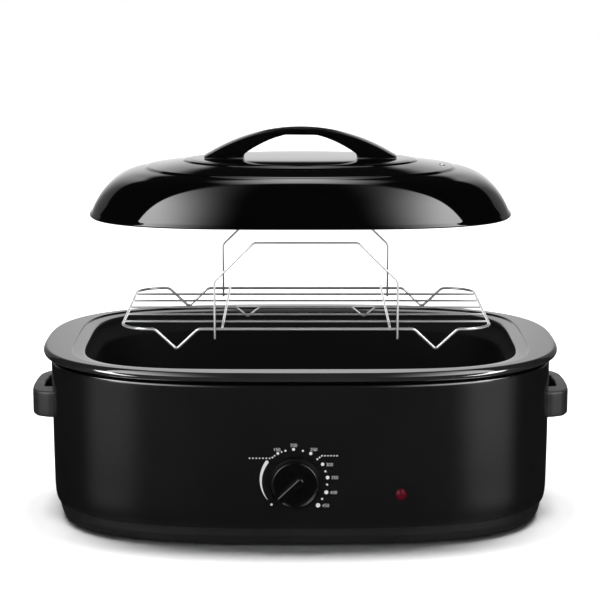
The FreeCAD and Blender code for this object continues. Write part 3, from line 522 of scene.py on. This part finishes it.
def tube(path, r, sides=20, closed=False, cap_round=True):
    """Verts and faces of a round wire along a path, its ends slightly rounded."""
    P = [Vector(p) for p in path]
    clean = [P[0]]
    for p in P[1:]:
        if (p - clean[-1]).length > 0.02:
            clean.append(p)
    P = clean
    if closed and (P[0] - P[-1]).length < 0.02:
        P.pop()
    n = len(P)
    T = []
    for i in range(n):
        a = P[(i - 1) % n] if (closed or i > 0) else P[0]
        b = P[(i + 1) % n] if (closed or i < n - 1) else P[-1]
        T.append((b - a).normalized())
    up = Vector((0, 0, 1)) if abs(T[0].z) < 0.9 else Vector((0, 1, 0))
    X = (up - T[0] * up.dot(T[0])).normalized()
    rings = []
    for i in range(n):
        if i:
            q = T[i - 1].rotation_difference(T[i])
            X = (q @ X)
            X = (X - T[i] * X.dot(T[i])).normalized()
        rings.append((P[i], T[i], X.copy(), r))
    if not closed and cap_round:
        s = rings[0]
        e = rings[-1]
        pre = [(s[0] + s[1] * (r * 0.45 * (1 - math.cos(a))), s[1], s[2], r * (0.55 + 0.45 * math.sin(a))) for a in (0.0, 0.5, 1.05)]
        post = [(e[0] - e[1] * (r * 0.45 * (1 - math.cos(a))), e[1], e[2], r * (0.55 + 0.45 * math.sin(a))) for a in (1.05, 0.5, 0.0)]
        rings[0] = (s[0] + s[1] * r * 0.45, s[1], s[2], r)
        rings[-1] = (e[0] - e[1] * r * 0.45, e[1], e[2], r)
        rings = pre + rings + post
    verts, faces = [], []
    m = len(rings)
    for c, t, x, rr in rings:
        y = t.cross(x)
        for k in range(sides):
            a = 2 * math.pi * k / sides
            v = c + x * (rr * math.cos(a)) + y * (rr * math.sin(a))
            verts.append((v.x * MM, v.y * MM, v.z * MM))
    for i in range(m if closed else m - 1):
        j = (i + 1) % m
        for k in range(sides):
            l = (k + 1) % sides
            faces.append((i * sides + k, i * sides + l, j * sides + l, j * sides + k))
    if not closed:
        faces.append(tuple(range(sides - 1, -1, -1)))
        faces.append(tuple((m - 1) * sides + k for k in range(sides)))
    return verts, faces


def joined(name, parts, sharp_angle=50.0):
    verts, faces = [], []
    for v, f in parts:
        o = len(verts)
        verts += v
        faces += [tuple(i + o for i in q) for q in f]
    return mesh_object(name, verts, faces, True, sharp_angle)


RX, RZ = 6.0, 222.0
RW, RB, RR = 197.0, 122.0, 30.0
VX, VW, VD = 138.0, 23.0, 20.4


def rail(sy):
    y = sy * RB
    pts = [(-RW, 0, 0), (-RW, y, 0), (-VX - VW, y, 0), (-VX - 1.4, y, -VD), (-VX + 1.4, y, -VD), (-VX + VW, y, 0),
           (VX - VW, y, 0), (VX - 1.4, y, -VD), (VX + 1.4, y, -VD), (VX + VW, y, 0), (RW, y, 0), (RW, 0, 0)]
    return wire_path([(p[0] + RX, p[1], p[2] + RZ) for p in pts], [RR, 9.0, 2.6, 2.6, 9.0, 9.0, 2.6, 2.6, 9.0, RR])


loop = rail(-1) + list(reversed(rail(1)))[1:-1]
finish_piece(joined("rack_rim_wire", [tube(loop, 1.5, closed=True)]), "rack", "rack_chrome", "rack_frame")
longs = []
LW = 1.25
step = 2 * RB / 6.0
for i in range(1, 6):
    y = -RB + i * step
    xe = RW - 1.5 + 0.6
    if abs(y) > RB - RR:
        xe -= RR - math.sqrt(RR ** 2 - (abs(y) - (RB - RR)) ** 2)
    if i == 3:
        pts = [(-xe, y, 0), (-78, y, 0), (-66, y, -9.4), (-64, y, -9.4), (-52, y, 0), (52, y, 0), (64, y, -9.4), (66, y, -9.4), (78, y, 0), (xe, y, 0)]
        path = wire_path([(p[0] + RX, p[1], p[2] + RZ + 0.2) for p in pts], [5.0, 1.6, 1.6, 5.0, 5.0, 1.6, 1.6, 5.0])
    else:
        path = [(RX - xe + 2 * xe * j / 8.0, y, RZ + 0.2) for j in range(9)]
    longs.append(tube(path, LW))
finish_piece(joined("rack_bars_long", longs), "rack", "rack_chrome", "rack_long_wires")
CW = 88.8
cross = [tube([(RX + sx * CW, -RB - 0.6 + (2 * RB + 1.2) * j / 6.0, RZ + 1.5 + LW - 0.2) for j in range(7)], LW) for sx in (-1, 1)]
finish_piece(joined("rack_bars_cross", cross), "rack", "rack_chrome", "rack_cross_wires")
LEG, LT0, LT1, TOPX = 97.0, 52.0, 93.0, 55.0
for sy, nm in ((-1, "front"), (1, "back")):
    y = sy * (RB + 1.5 + LW - 0.2)
    pts = [(-LEG, y, -10.5), (-LEG, y, LT0), (-TOPX, y, LT1), (TOPX, y, LT1), (LEG, y, LT0), (LEG, y, -10.5)]
    v = tube(wire_path([(p[0] + RX, p[1], p[2] + RZ) for p in pts], [7.0, 7.0, 7.0, 7.0]), LW)
    finish_piece(joined("rack_loop_" + nm, [v]), "rack", "rack_chrome", "rack_lift_handle_" + nm)


# ---- steam vent: a small flared eyelet in the lid's flange, with a dark plug in it as painted shade for the vent hole, which is not cut
vx, vy, vz = grommet_at
tilt = math.radians(8.5)
ring_v = [(vx + 2.5 * math.cos(2 * math.pi * k / 40) * math.cos(tilt), vy + 2.5 * math.sin(2 * math.pi * k / 40), vz - 2.5 * math.cos(2 * math.pi * k / 40) * math.sin(tilt)) for k in range(40)]
finish_piece(joined("lid_vent_eyelet", [tube(ring_v, 0.55, sides=14, closed=True)]), "lid", "zinc_steel")
# dark plug in the eyelet: painted shade that stands for the open vent hole
hole_shade_v, hole_shade_f = [], []
for r, dz in ((2.3, -0.6), (2.3, 0.02), (0.9, -0.06)):
    for k in range(32):
        a = 2 * math.pi * k / 32
        hole_shade_v.append(((vx + r * math.cos(a) * math.cos(tilt) + dz * math.sin(tilt)) * MM, (vy + r * math.sin(a)) * MM, (vz - r * math.cos(a) * math.sin(tilt) + dz * math.cos(tilt)) * MM))
for i in range(2):
    for k in range(32):
        l = (k + 1) % 32
        hole_shade_f.append((i * 32 + k, i * 32 + l, (i + 1) * 32 + l, (i + 1) * 32 + k))
hole_shade_f += [tuple(range(31, -1, -1)), tuple(64 + k for k in range(32))]
finish_piece(mesh_object("lid_vent_hole_shade", hole_shade_v, hole_shade_f, True, 40.0), "lid", "foot_rubber")


# ---- weld nuggets where wires cross
def blob(c, rx, ry, rz, seg=12):
    v, f = [], []
    rings = 6
    for i in range(rings + 1):
        a = math.pi * i / rings
        for k in range(seg):
            b = 2 * math.pi * k / seg
            v.append(((c[0] + rx * math.sin(a) * math.cos(b)) * MM, (c[1] + ry * math.sin(a) * math.sin(b)) * MM, (c[2] + rz * math.cos(a)) * MM))
    for i in range(rings):
        for k in range(seg):
            l = (k + 1) % seg
            f.append((i * seg + k, i * seg + l, (i + 1) * seg + l, (i + 1) * seg + k))
    return v, f


welds = []
for sx in (-1, 1):
    for i in range(7):
        y = -RB + i * step
        if i in (0, 6):
            welds.append(blob((RX + sx * CW, y, RZ + 1.4), 1.7, 1.9, 1.0))
        else:
            welds.append(blob((RX + sx * CW, y, RZ + 1.4), 1.7, 1.7, 0.9))
    for sy in (-1, 1):
        welds.append(blob((RX + sx * LEG, sy * (RB + 1.4), RZ), 1.9, 1.0, 1.9))
finish_piece(joined("rack_welds", welds), "rack", "rack_chrome")

# ---- control knob: turned body, then the grip
KX, KZ = -5.5, 71.8
yo = -half_depth(275.6, 188.8, 2.93, KX)
KY0 = yo - 1.2


def turned(profile, seg=128, ripple=None):
    """Profile of (radius, height) turned round the knob's axis; height grows away from the panel."""
    v, f = [], []
    for i, (r, h) in enumerate(profile):
        for k in range(seg):
            a = 2 * math.pi * k / seg
            v.append(((KX + r * math.cos(a)) * MM, (KY0 - h) * MM, (KZ + r * math.sin(a)) * MM))
    for i in range(len(profile) - 1):
        for k in range(seg):
            l = (k + 1) % seg
            f.append((i * seg + k, i * seg + l, (i + 1) * seg + l, (i + 1) * seg + k))
    f.append(tuple(range(seg - 1, -1, -1)))
    f.append(tuple((len(profile) - 1) * seg + k for k in range(seg)))
    return v, f


kp = [(24.2, 0.0), (26.9, 0.0), (27.2, 0.35), (27.15, 1.2), (26.75, 3.4), (26.4, 4.0), (25.9, 4.25), (25.1, 4.3), (24.75, 4.55), (24.6, 5.0),
      (24.2, 8.8), (24.05, 9.7), (23.75, 10.2), (23.3, 10.4), (22.9, 10.2), (22.6, 9.7), (22.3, 9.0), (21.8, 8.75), (20.5, 8.7), (14.0, 8.75), (6.0, 8.8)]
ga = math.radians(223.6)
gx, gz = math.cos(ga), math.sin(ga)
gp = fillet_poly([(-11.0, -4.0), (23.4, -4.0), (23.4, 4.0), (-11.0, 4.0)], [3.6, 3.0, 3.0, 3.6], 9)
gp = densify(gp, 3.0)
GH = 207.8 + KY0


def grip_xyz(a, b, q):
    return ((KX + gx * a - gz * b) * MM, (KY0 - q) * MM, (KZ + gz * a + gx * b) * MM)


gr = slab("knob_grip", gp, [(8.0, 0.0), (11.0, 0.05), (14.0, 0.15)] + [(GH - 1.3 + 1.3 * math.sin(math.radians(t)), 0.2 + 1.3 * (1 - math.cos(math.radians(t)))) for t in (0, 18, 36, 54, 72, 90)], grip_xyz, None, 42.0)
knob = joined("knob_body", [turned(kp)], 34.0)
finish_piece(knob, "knob", "knob_plastic", "control_knob")
knob.data.materials.append(M["knob_side"])
for p in knob.data.polygons:
    c = p.center
    if math.hypot(c.x - KX * MM, c.z - KZ * MM) > 24.1 * MM:
        p.material_index = 1
finish_piece(gr, "knob", "knob_plastic")

# ---- dial print: dots, wedge and plain numbers on the curved front panel


def panel_y(x, z, lift=0.07):
    rows = [r for r in foot if r[3] < 168.0]
    for (A0, B0, n0, z0), (A1, B1, n1, z1) in zip(rows, rows[1:]):
        if z <= z1:
            t = max(0.0, min(1.0, (z - z0) / (z1 - z0)))
            return -((1 - t) * half_depth(A0, B0, n0, x) + t * half_depth(A1, B1, n1, x)) - lift
    return -189.0


def on_panel(ob):
    for v in ob.data.vertices:
        x, z = v.co.x / MM, v.co.z / MM
        v.co.y = panel_y(x, z) * MM + v.co.y


def disc(cx, cz, r, seg=28):
    v = [((cx + r * q * math.cos(2 * math.pi * k / seg)) * MM, -0.00003 if q < 0.9 else 0.0, (cz + r * q * math.sin(2 * math.pi * k / seg)) * MM) for q in (1.0, 0.82) for k in range(seg)]
    f = [(k, (k + 1) % seg, seg + (k + 1) % seg, seg + k) for k in range(seg)] + [tuple(seg + k for k in range(seg))]
    return v, f


def polar(r, a):
    return KX + r * math.cos(math.radians(a)), KZ + r * math.sin(math.radians(a))


marks = []
for r, a, d in [(34.3, 223.8, 1.25), (36.4, 119.7, 1.45), (36.1, 113.0, 0.85), (36.0, 106.3, 1.05), (36.1, 92.7, 1.6), (35.4, 76.9, 1.05), (35.5, 62.7, 1.7),
                (34.9, 34.9, 1.8), (33.9, 21.4, 1.05), (34.3, 9.4, 1.95), (33.4, 356.6, 1.05), (34.1, 342.3, 2.1), (33.2, 328.1, 1.1), (34.2, 314.3, 2.35),
                (36.1, 130.9, 0.9), (36.1, 126.3, 0.8), (34.4, 47.8, 0.95), (37.4, 47.1, 0.85), (40.3, 46.3, 0.85)]:
    marks.append(disc(*polar(r, a), d))
for k in range(7):
    marks.append(disc(-53.0 + 3.5 * k, 98.2, 0.78))
for k in range(1, 6):
    marks.append(disc(22.4 + 3.15 * k, 100.9, 0.78))
# wedge that tapers clockwise to anticlockwise
wv, wf = [], []
K = 48
for i in range(K + 1):
    t = i / K
    a = 143.0 + (212.5 - 143.0) * t
    rc = 36.9 - 2.6 * t + 0.3 * math.sin(math.pi * t)
    w = 1.65 * (1 - t) ** 0.75 + 0.12
    for q in (-1, 1):
        x, z = polar(rc + q * w, a)
        wv.append((x * MM, 0.0, z * MM))
for i in range(K):
    wf.append((2 * i, 2 * i + 1, 2 * i + 3, 2 * i + 2))
marks.append((wv, wf))
marks.append(disc(*polar(36.9, 143.0), 1.77))
dots = joined("dial_marks", marks, 60.0)
on_panel(dots)
finish_piece(dots, "housing", "dial_print")

# digits as strokes: each is a set of polylines in a 0..0.62 by 0..1 cell
ARC = lambda cx, cy, rx, ry, a0, a1, k=10: [(cx + rx * math.cos(math.radians(a0 + (a1 - a0) * i / k)), cy + ry * math.sin(math.radians(a0 + (a1 - a0) * i / k))) for i in range(k + 1)]
DIGITS = {
    "0": [ARC(0.31, 0.5, 0.27, 0.46, 90, 450, 22)],
    "1": [[(0.12, 0.80), (0.34, 0.96), (0.34, 0.04)]],
    "2": [ARC(0.31, 0.70, 0.25, 0.26, 165, -35, 12) + [(0.06, 0.04), (0.58, 0.04)]],
    "3": [ARC(0.29, 0.73, 0.24, 0.23, 150, -90, 12), ARC(0.29, 0.27, 0.27, 0.23, 90, -150, 12)],
    "4": [[(0.44, 0.04), (0.44, 0.96), (0.04, 0.30), (0.60, 0.30)]],
    "5": [[(0.54, 0.96), (0.14, 0.96), (0.10, 0.54)] + ARC(0.29, 0.32, 0.27, 0.28, 130, -140, 14)],
}


def stroke(points, w):
    v, f = [], []
    n = len(points)
    P = [np.array(p, float) for p in points]
    for i in range(n):
        a, b = P[max(0, i - 1)], P[min(n - 1, i + 1)]
        t = (b - a) / (np.linalg.norm(b - a) or 1)
        m = np.array([-t[1], t[0]])
        k = 1.0
        if 0 < i < n - 1:
            t1 = (P[i] - a) / (np.linalg.norm(P[i] - a) or 1)
            c = abs(float(t1 @ t))
            k = min(1.6, 1.0 / max(0.4, c))
        v += [tuple(P[i] + m * w * k), tuple(P[i] - m * w * k)]
    for i in range(n - 1):
        f.append((2 * i, 2 * i + 1, 2 * i + 3, 2 * i + 2))
    return v, f


def number(text, cx, cz, height):
    parts = []
    pitch = 0.74
    width = (len(text) - 1) * pitch + 0.62
    for i, ch in enumerate(text):
        for line in DIGITS[ch]:
            v, f = stroke(line, 0.046)
            parts.append(([((cx + (a + i * pitch - width / 2) * height) * MM, 0.0, (cz + (b - 0.5) * height) * MM) for a, b in v], f))
    return parts


nums = []
for text, x, z in [("150", -24.6, 107.5), ("200", -7.0, 112.2), ("250", 13.8, 107.6), ("300", 30.3, 91.5), ("350", 35.7, 77.4), ("400", 34.6, 61.3), ("450", 26.2, 47.1)]:
    nums += number(text, x, z, 3.4)
nm = joined("dial_numbers", nums, 60.0)
on_panel(nm)
finish_piece(nm, "housing", "dial_print")

# ---- indicator lens with cut facets
LX, LZc = 105.4, 58.1
lyo = -half_depth(275.6, 188.8, 2.93, LX)
LT = math.atan2(half_depth(275.6, 188.8, 2.93, LX - 6) - half_depth(275.6, 188.8, 2.93, LX + 6), 12.0)
lv, lf = [], []
seg = 16
prof_l = [(4.6, -8.0, 0), (4.6, 0.6, 0), (6.1, 0.6, 0), (6.2, 0.8, 0), (6.2, 1.15, 0), (6.0, 1.4, 0), (4.4, 2.75, 0.5), (2.4, 3.75, 0), (0.5, 4.0, 0.5)]
for r, h, tw in prof_l:
    for k in range(seg):
        a = 2 * math.pi * (k + tw) / seg
        p = Vector((r * math.cos(a), -h, r * math.sin(a)))
        p.rotate(Matrix.Rotation(LT, 3, "Z"))
        lv.append(((LX + p.x) * MM, (lyo + p.y) * MM, (LZc + p.z) * MM))
for i in range(len(prof_l) - 1):
    for k in range(seg):
        l = (k + 1) % seg
        if prof_l[i][2] == prof_l[i + 1][2]:
            lf.append((i * seg + k, i * seg + l, (i + 1) * seg + l, (i + 1) * seg + k))
        elif prof_l[i + 1][2]:
            lf.append((i * seg + k, i * seg + l, (i + 1) * seg + k))
            lf.append((i * seg + l, (i + 1) * seg + l, (i + 1) * seg + k))
        else:
            lf.append((i * seg + k, (i + 1) * seg + l, (i + 1) * seg + k))
            lf.append((i * seg + k, i * seg + l, (i + 1) * seg + l))
lf.append(tuple(range(seg - 1, -1, -1)))
lf.append(tuple((len(prof_l) - 1) * seg + k for k in range(seg)))
lens = mesh_object("indicator_jewel", lv, lf, True, 12.0)
finish_piece(lens, "housing", "red_lens", "indicator_lens")

# ---------------------------------------------------------------------- stage
floor_m, nt, b = new_mat("floor_white")
n1, co = noise(nt, 2.0, 2.0, 0.5)
nt.links.new(mix_colour(nt, ramp_value(nt, n1.outputs["Fac"], 0, 1), (0.93, 0.93, 0.93), (0.95, 0.95, 0.95)), b.inputs["Base Color"])
b.inputs["Roughness"].default_value = 0.9
b.inputs["Specular IOR Level"].default_value = 0.1
me = bpy.data.meshes.new("floor")
me.from_pydata([(-9, -9, 0), (9, -9, 0), (9, 9, 0), (-9, 9, 0)], [], [(0, 1, 2, 3)])
floor = bpy.data.objects.new("floor", me)
scene.collection.objects.link(floor)
me.materials.append(floor_m)
floor.visible_glossy = False

# The room's light is a function of direction: two tall soft boxes in front, a lamp high behind, soft strips low at the sides.
world = bpy.data.worlds.new("studio")
scene.world = world
world.cycles.sampling_method = "NONE"
world.use_nodes = True
wn = world.node_tree
wn.nodes.clear()


def math_node(op, a, b=None, c=None, clamp=False):
    n = wn.nodes.new("ShaderNodeMath")
    n.operation = op
    n.use_clamp = clamp
    for i, v in enumerate((a, b, c)):
        if v is None:
            continue
        if isinstance(v, (int, float)):
            n.inputs[i].default_value = v
        else:
            wn.links.new(v, n.inputs[i])
    return n.outputs[0]


def add(a, b):
    return math_node("ADD", a, b)


def sub(a, b):
    return math_node("SUBTRACT", a, b)


def mul(a, b):
    return math_node("MULTIPLY", a, b)


def smooth(x, lo, hi, out_lo=0.0, out_hi=1.0):
    n = wn.nodes.new("ShaderNodeMapRange")
    n.interpolation_type = "SMOOTHSTEP"
    for k, v in (("From Min", lo), ("From Max", hi), ("To Min", out_lo), ("To Max", out_hi)):
        n.inputs[k].default_value = v
    wn.links.new(x, n.inputs["Value"])
    return n.outputs["Result"]


tc = wn.nodes.new("ShaderNodeTexCoord")
sp = wn.nodes.new("ShaderNodeSeparateXYZ")
wn.links.new(tc.outputs["Generated"], sp.inputs[0])
dx, dy, dz = sp.outputs
ax = math_node("ABSOLUTE", dx)
spread = add(ax, math_node("MAXIMUM", add(mul(dy, 0.067), 0.04), 0.0))
box_l = mul(math_node("POWER", smooth(spread, 0.10, 0.70), 1.3), 9.8)
edge = sub(add(add(mul(mul(ax, ax), 0.42), mul(ax, -1.83)), 0.765), dy)
box_m = smooth(math_node("DIVIDE", edge, smooth(ax, 0.10, 0.35, 0.085, 0.014)), -1.0, 1.0)
front = mul(mul(box_l, box_m), smooth(dz, 0.0, 0.07))
lamp = mul(mul(smooth(dz, 0.56, 0.66), smooth(dz, 0.755, 0.815, 1.0, 0.0)), mul(smooth(dy, 0.0, 0.05), smooth(ax, 0.0, 0.125, 2.6, 0.0)))
az = math_node("ARCTAN2", ax, mul(dy, -1.0))
side_a = mul(mul(smooth(az, math.radians(35.0), math.radians(52.0)), smooth(az, math.radians(66.0), math.radians(93.0), 1.0, 0.0)), smooth(dx, -0.1, 0.1, 0.62, 0.93))
low = mul(mul(side_a, smooth(dz, 0.0, 0.06, 1.0, 0.0)), smooth(dz, -0.31, -0.235, 0.15, 1.0))
under = smooth(dz, -0.75, -0.35, 0.08, 0.01)
room = add(add(front, lamp), add(low, under))

lp = wn.nodes.new("ShaderNodeLightPath")
mixw = wn.nodes.new("ShaderNodeMix")
mixw.data_type = "FLOAT"
wn.links.new(lp.outputs["Is Glossy Ray"], mixw.inputs[0])
base = wn.nodes.new("ShaderNodeMix")
base.data_type = "FLOAT"
wn.links.new(lp.outputs["Is Camera Ray"], base.inputs[0])
base.inputs[2].default_value = 0.025
base.inputs[3].default_value = 1.0
wn.links.new(base.outputs[0], mixw.inputs[2])
wn.links.new(room, mixw.inputs[3])
bg = wn.nodes.new("ShaderNodeBackground")
bg.inputs["Color"].default_value = (1, 1, 1, 1)
wn.links.new(mixw.outputs[0], bg.inputs["Strength"])
out = wn.nodes.new("ShaderNodeOutputWorld")
wn.links.new(bg.outputs[0], out.inputs[0])


def card(name, corners, strength, fade_x=(0.0, 0.0), fade_y=(0.0, 0.0), see_through=False, receivers=None):
    """A lit card that only shows in reflections. fade_x and fade_y: soft widths at its start and end edges, as shares of its size."""
    m = bpy.data.materials.new(name)
    m.use_nodes = True
    t = m.node_tree
    t.nodes.clear()
    o = t.nodes.new("ShaderNodeOutputMaterial")
    e = t.nodes.new("ShaderNodeEmission")
    uv = t.nodes.new("ShaderNodeUVMap")
    q = t.nodes.new("ShaderNodeSeparateXYZ")
    t.links.new(uv.outputs[0], q.inputs[0])
    val = None
    for ax_name, (f0, f1) in (("X", fade_x), ("Y", fade_y)):
        for lo, hi, a, b in ((0.0, f0, 0.0, 1.0), (1.0 - f1, 1.0, 1.0, 0.0)):
            if hi - lo <= 0:
                continue
            mr = t.nodes.new("ShaderNodeMapRange")
            mr.interpolation_type = "SMOOTHSTEP"
            mr.inputs["From Min"].default_value, mr.inputs["From Max"].default_value = lo, hi
            mr.inputs["To Min"].default_value, mr.inputs["To Max"].default_value = a, b
            t.links.new(q.outputs[ax_name], mr.inputs["Value"])
            if val is None:
                val = mr.outputs["Result"]
            else:
                k = t.nodes.new("ShaderNodeMath")
                k.operation = "MULTIPLY"
                t.links.new(val, k.inputs[0])
                t.links.new(mr.outputs["Result"], k.inputs[1])
                val = k.outputs[0]
    if val is None:
        e.inputs["Strength"].default_value = strength
    else:
        k = t.nodes.new("ShaderNodeMath")
        k.operation = "MULTIPLY"
        t.links.new(val, k.inputs[0])
        k.inputs[1].default_value = strength
        t.links.new(k.outputs[0], e.inputs["Strength"])
    tr = t.nodes.new("ShaderNodeBsdfTransparent")
    ad = t.nodes.new("ShaderNodeAddShader")
    t.links.new(tr.outputs[0], ad.inputs[0])
    t.links.new(e.outputs[0], ad.inputs[1])
    t.links.new(ad.outputs[0], o.inputs[0])
    me = bpy.data.meshes.new(name)
    verts, faces, uvs = [], [], []
    for i, c in enumerate(corners):
        verts += [c[0], c[1]]
        if i:
            k = 2 * i
            faces.append((k - 2, k, k + 1, k - 1))
            u0, u1 = (i - 1) / (len(corners) - 1), i / (len(corners) - 1)
            uvs += [(u0, 0), (u1, 0), (u1, 1), (u0, 1)]
    me.from_pydata(verts, [], faces)
    l = me.uv_layers.new(name="UVMap")
    for i, c in enumerate(uvs):
        l.data[i].uv = c
    me.materials.append(m)
    ob = bpy.data.objects.new(name, me)
    scene.collection.objects.link(ob)
    ob.visible_camera = ob.visible_shadow = ob.visible_diffuse = ob.visible_transmission = False
    m.cycles.emission_sampling = "NONE"
    if receivers:
        col = bpy.data.collections.new(name + "_for")
        for r in receivers:
            col.objects.link(r)
        ob.light_linking.receiver_collection = col
    return ob


def sweep():
    """The white sweep behind the object: lit low down, open in the middle above, and falling off to the sides and the top."""
    m = bpy.data.materials.new("sweep")
    m.use_nodes = True
    t = m.node_tree
    t.nodes.clear()

    def op(kind, a, b=None):
        n = t.nodes.new("ShaderNodeMath")
        n.operation = kind
        for i, v in enumerate((a, b)):
            if isinstance(v, (int, float)):
                n.inputs[i].default_value = v
            elif v is not None:
                t.links.new(v, n.inputs[i])
        return n.outputs[0]

    def ease(x, lo, hi, a=0.0, b=1.0):
        n = t.nodes.new("ShaderNodeMapRange")
        n.interpolation_type = "SMOOTHSTEP"
        for k, v in (("From Min", lo), ("From Max", hi), ("To Min", a), ("To Max", b)):
            n.inputs[k].default_value = v
        t.links.new(x, n.inputs["Value"])
        return n.outputs["Result"]

    co = t.nodes.new("ShaderNodeTexCoord")
    q = t.nodes.new("ShaderNodeSeparateXYZ")
    t.links.new(co.outputs["Object"], q.inputs[0])
    x, z = op("ABSOLUTE", q.outputs["X"]), q.outputs["Z"]
    top = ease(op("SUBTRACT", z, ease(x, 0.30, 0.50, 0.84, 1.03)), -0.09, 0.02, 1.0, 0.0)
    inner = ease(op("SUBTRACT", x, op("ADD", op("MULTIPLY", z, 0.33), -0.068)), -0.025, 0.03)
    low_part = ease(z, 0.508, 0.542, 1.0, 0.0)
    level = ease(x, 0.22, 0.80, 1.15, 0.23)
    drop = op("SUBTRACT", 1.0, op("MULTIPLY", ease(z, 0.56, 0.80, 0.0, 0.33), ease(x, 0.36, 0.48, 1.0, 0.0)))
    val = op("MULTIPLY", op("MULTIPLY", op("MAXIMUM", inner, low_part), top), op("MULTIPLY", level, drop))
    e = t.nodes.new("ShaderNodeEmission")
    t.links.new(val, e.inputs["Strength"])
    tr = t.nodes.new("ShaderNodeBsdfTransparent")
    ad = t.nodes.new("ShaderNodeAddShader")
    t.links.new(tr.outputs[0], ad.inputs[0])
    t.links.new(e.outputs[0], ad.inputs[1])
    o = t.nodes.new("ShaderNodeOutputMaterial")
    t.links.new(ad.outputs[0], o.inputs[0])
    me = bpy.data.meshes.new("sweep_back")
    me.from_pydata([(-1.5, 1.05, 0.0), (1.5, 1.05, 0.0), (1.5, 1.05, 1.3), (-1.5, 1.05, 1.3)], [], [(0, 1, 2, 3)])
    me.materials.append(m)
    ob = bpy.data.objects.new("sweep_back", me)
    scene.collection.objects.link(ob)
    ob.visible_camera = ob.visible_shadow = ob.visible_diffuse = ob.visible_transmission = False
    m.cycles.emission_sampling = "NONE"


sweep()
rack_obs = [o for o in scene.objects if o.name.startswith("rack_") and not o.hide_render]
for o in rack_obs:
    o.visible_glossy = False
ringp = [(1.4 * math.sin(2 * math.pi * i / 48), -1.4 * math.cos(2 * math.pi * i / 48)) for i in range(49)]
card("rack_reflector", [((x, y, -0.6), (x, y, 0.30)) for x, y in ringp], 1.05, fade_y=(0.0, 0.15), receivers=rack_obs)

# small lamps on each side: one that only the rolled rim of the pan catches, one for the edge of the shell below it


def side_lamp(name, sx, near, el, az_range, strength, fades, receivers):
    cols = []
    for i in range(7):
        a = math.radians(az_range[0] + (az_range[1] - az_range[0]) * i / 6.0)
        cols.append(tuple((sx * (near[0] + 1.4 * math.sin(a) * math.cos(math.radians(e))), near[1] - 1.4 * math.cos(a) * math.cos(math.radians(e)), near[2] + 1.4 * math.sin(math.radians(e))) for e in el))
    return card(name, cols, strength, fade_x=fades, receivers=receivers)


for sx, nm in ((-1, "left"), (1, "right")):
    side_lamp("rim_glint_" + nm, sx, (0.20, -0.15, 0.185), (-55.0, 2.0), (53.0, 71.0), 26.0, (0.12, 0.25), [pan])
    side_lamp("edge_glint_" + nm, sx, (0.20, -0.15, 0.176), (18.0, 50.0), (50.0, 80.0), 24.0, (0.40, 0.25), [shell])
    side_lamp("arch_glint_" + nm, sx, (0.06, 0.0, 0.41), (42.0, 64.0), (112.0, 142.0), 7.0, (0.15, 0.15), [hb])

# a soft overhead light for the floor and its shadow, and a wide fill from the front for the object only
def soft_sun(name, energy, angle, rot, receivers=None):
    s = bpy.data.lights.new(name, "SUN")
    s.energy = energy
    s.angle = math.radians(angle)
    ob = bpy.data.objects.new(name, s)
    scene.collection.objects.link(ob)
    ob.rotation_euler = tuple(math.radians(a) for a in rot)
    ob.visible_glossy = False
    if receivers:
        col = bpy.data.collections.new(name + "_for")
        for r in receivers:
            col.objects.link(r)
        ob.light_linking.receiver_collection = col
    return ob


object_obs = [o for o in scene.objects if o.type == "MESH" and o.name != "floor" and not o.name.startswith(("sweep_", "rim_glint_", "edge_glint_", "arch_glint_")) and o.name != "rack_reflector"]
soft_sun("floor_left", 3.16, 24.0, (-12.0, 14.0, 0), [floor])
soft_sun("floor_right", 3.16, 24.0, (-12.0, -14.0, 0), [floor])
soft_sun("overhead", 2.4, 9.0, (-4.0, 0, 0), object_obs)
soft_sun("front_fill", 3.1, 90.0, (70.0, 0, 0), object_obs)

# --------------------------------------------------------------------- camera
cam = bpy.data.cameras.new("camera")
cam.lens = 120.0
cam.sensor_width = 36.0
cam_o = bpy.data.objects.new("camera", cam)
scene.collection.objects.link(cam_o)
cam_o.location = (-0.00045, -2.2058, 0.6433)
cam_o.rotation_euler = (math.radians(90 - 10.6), 0, 0)
scene.camera = cam_o
scene.view_settings.view_transform = "Standard"
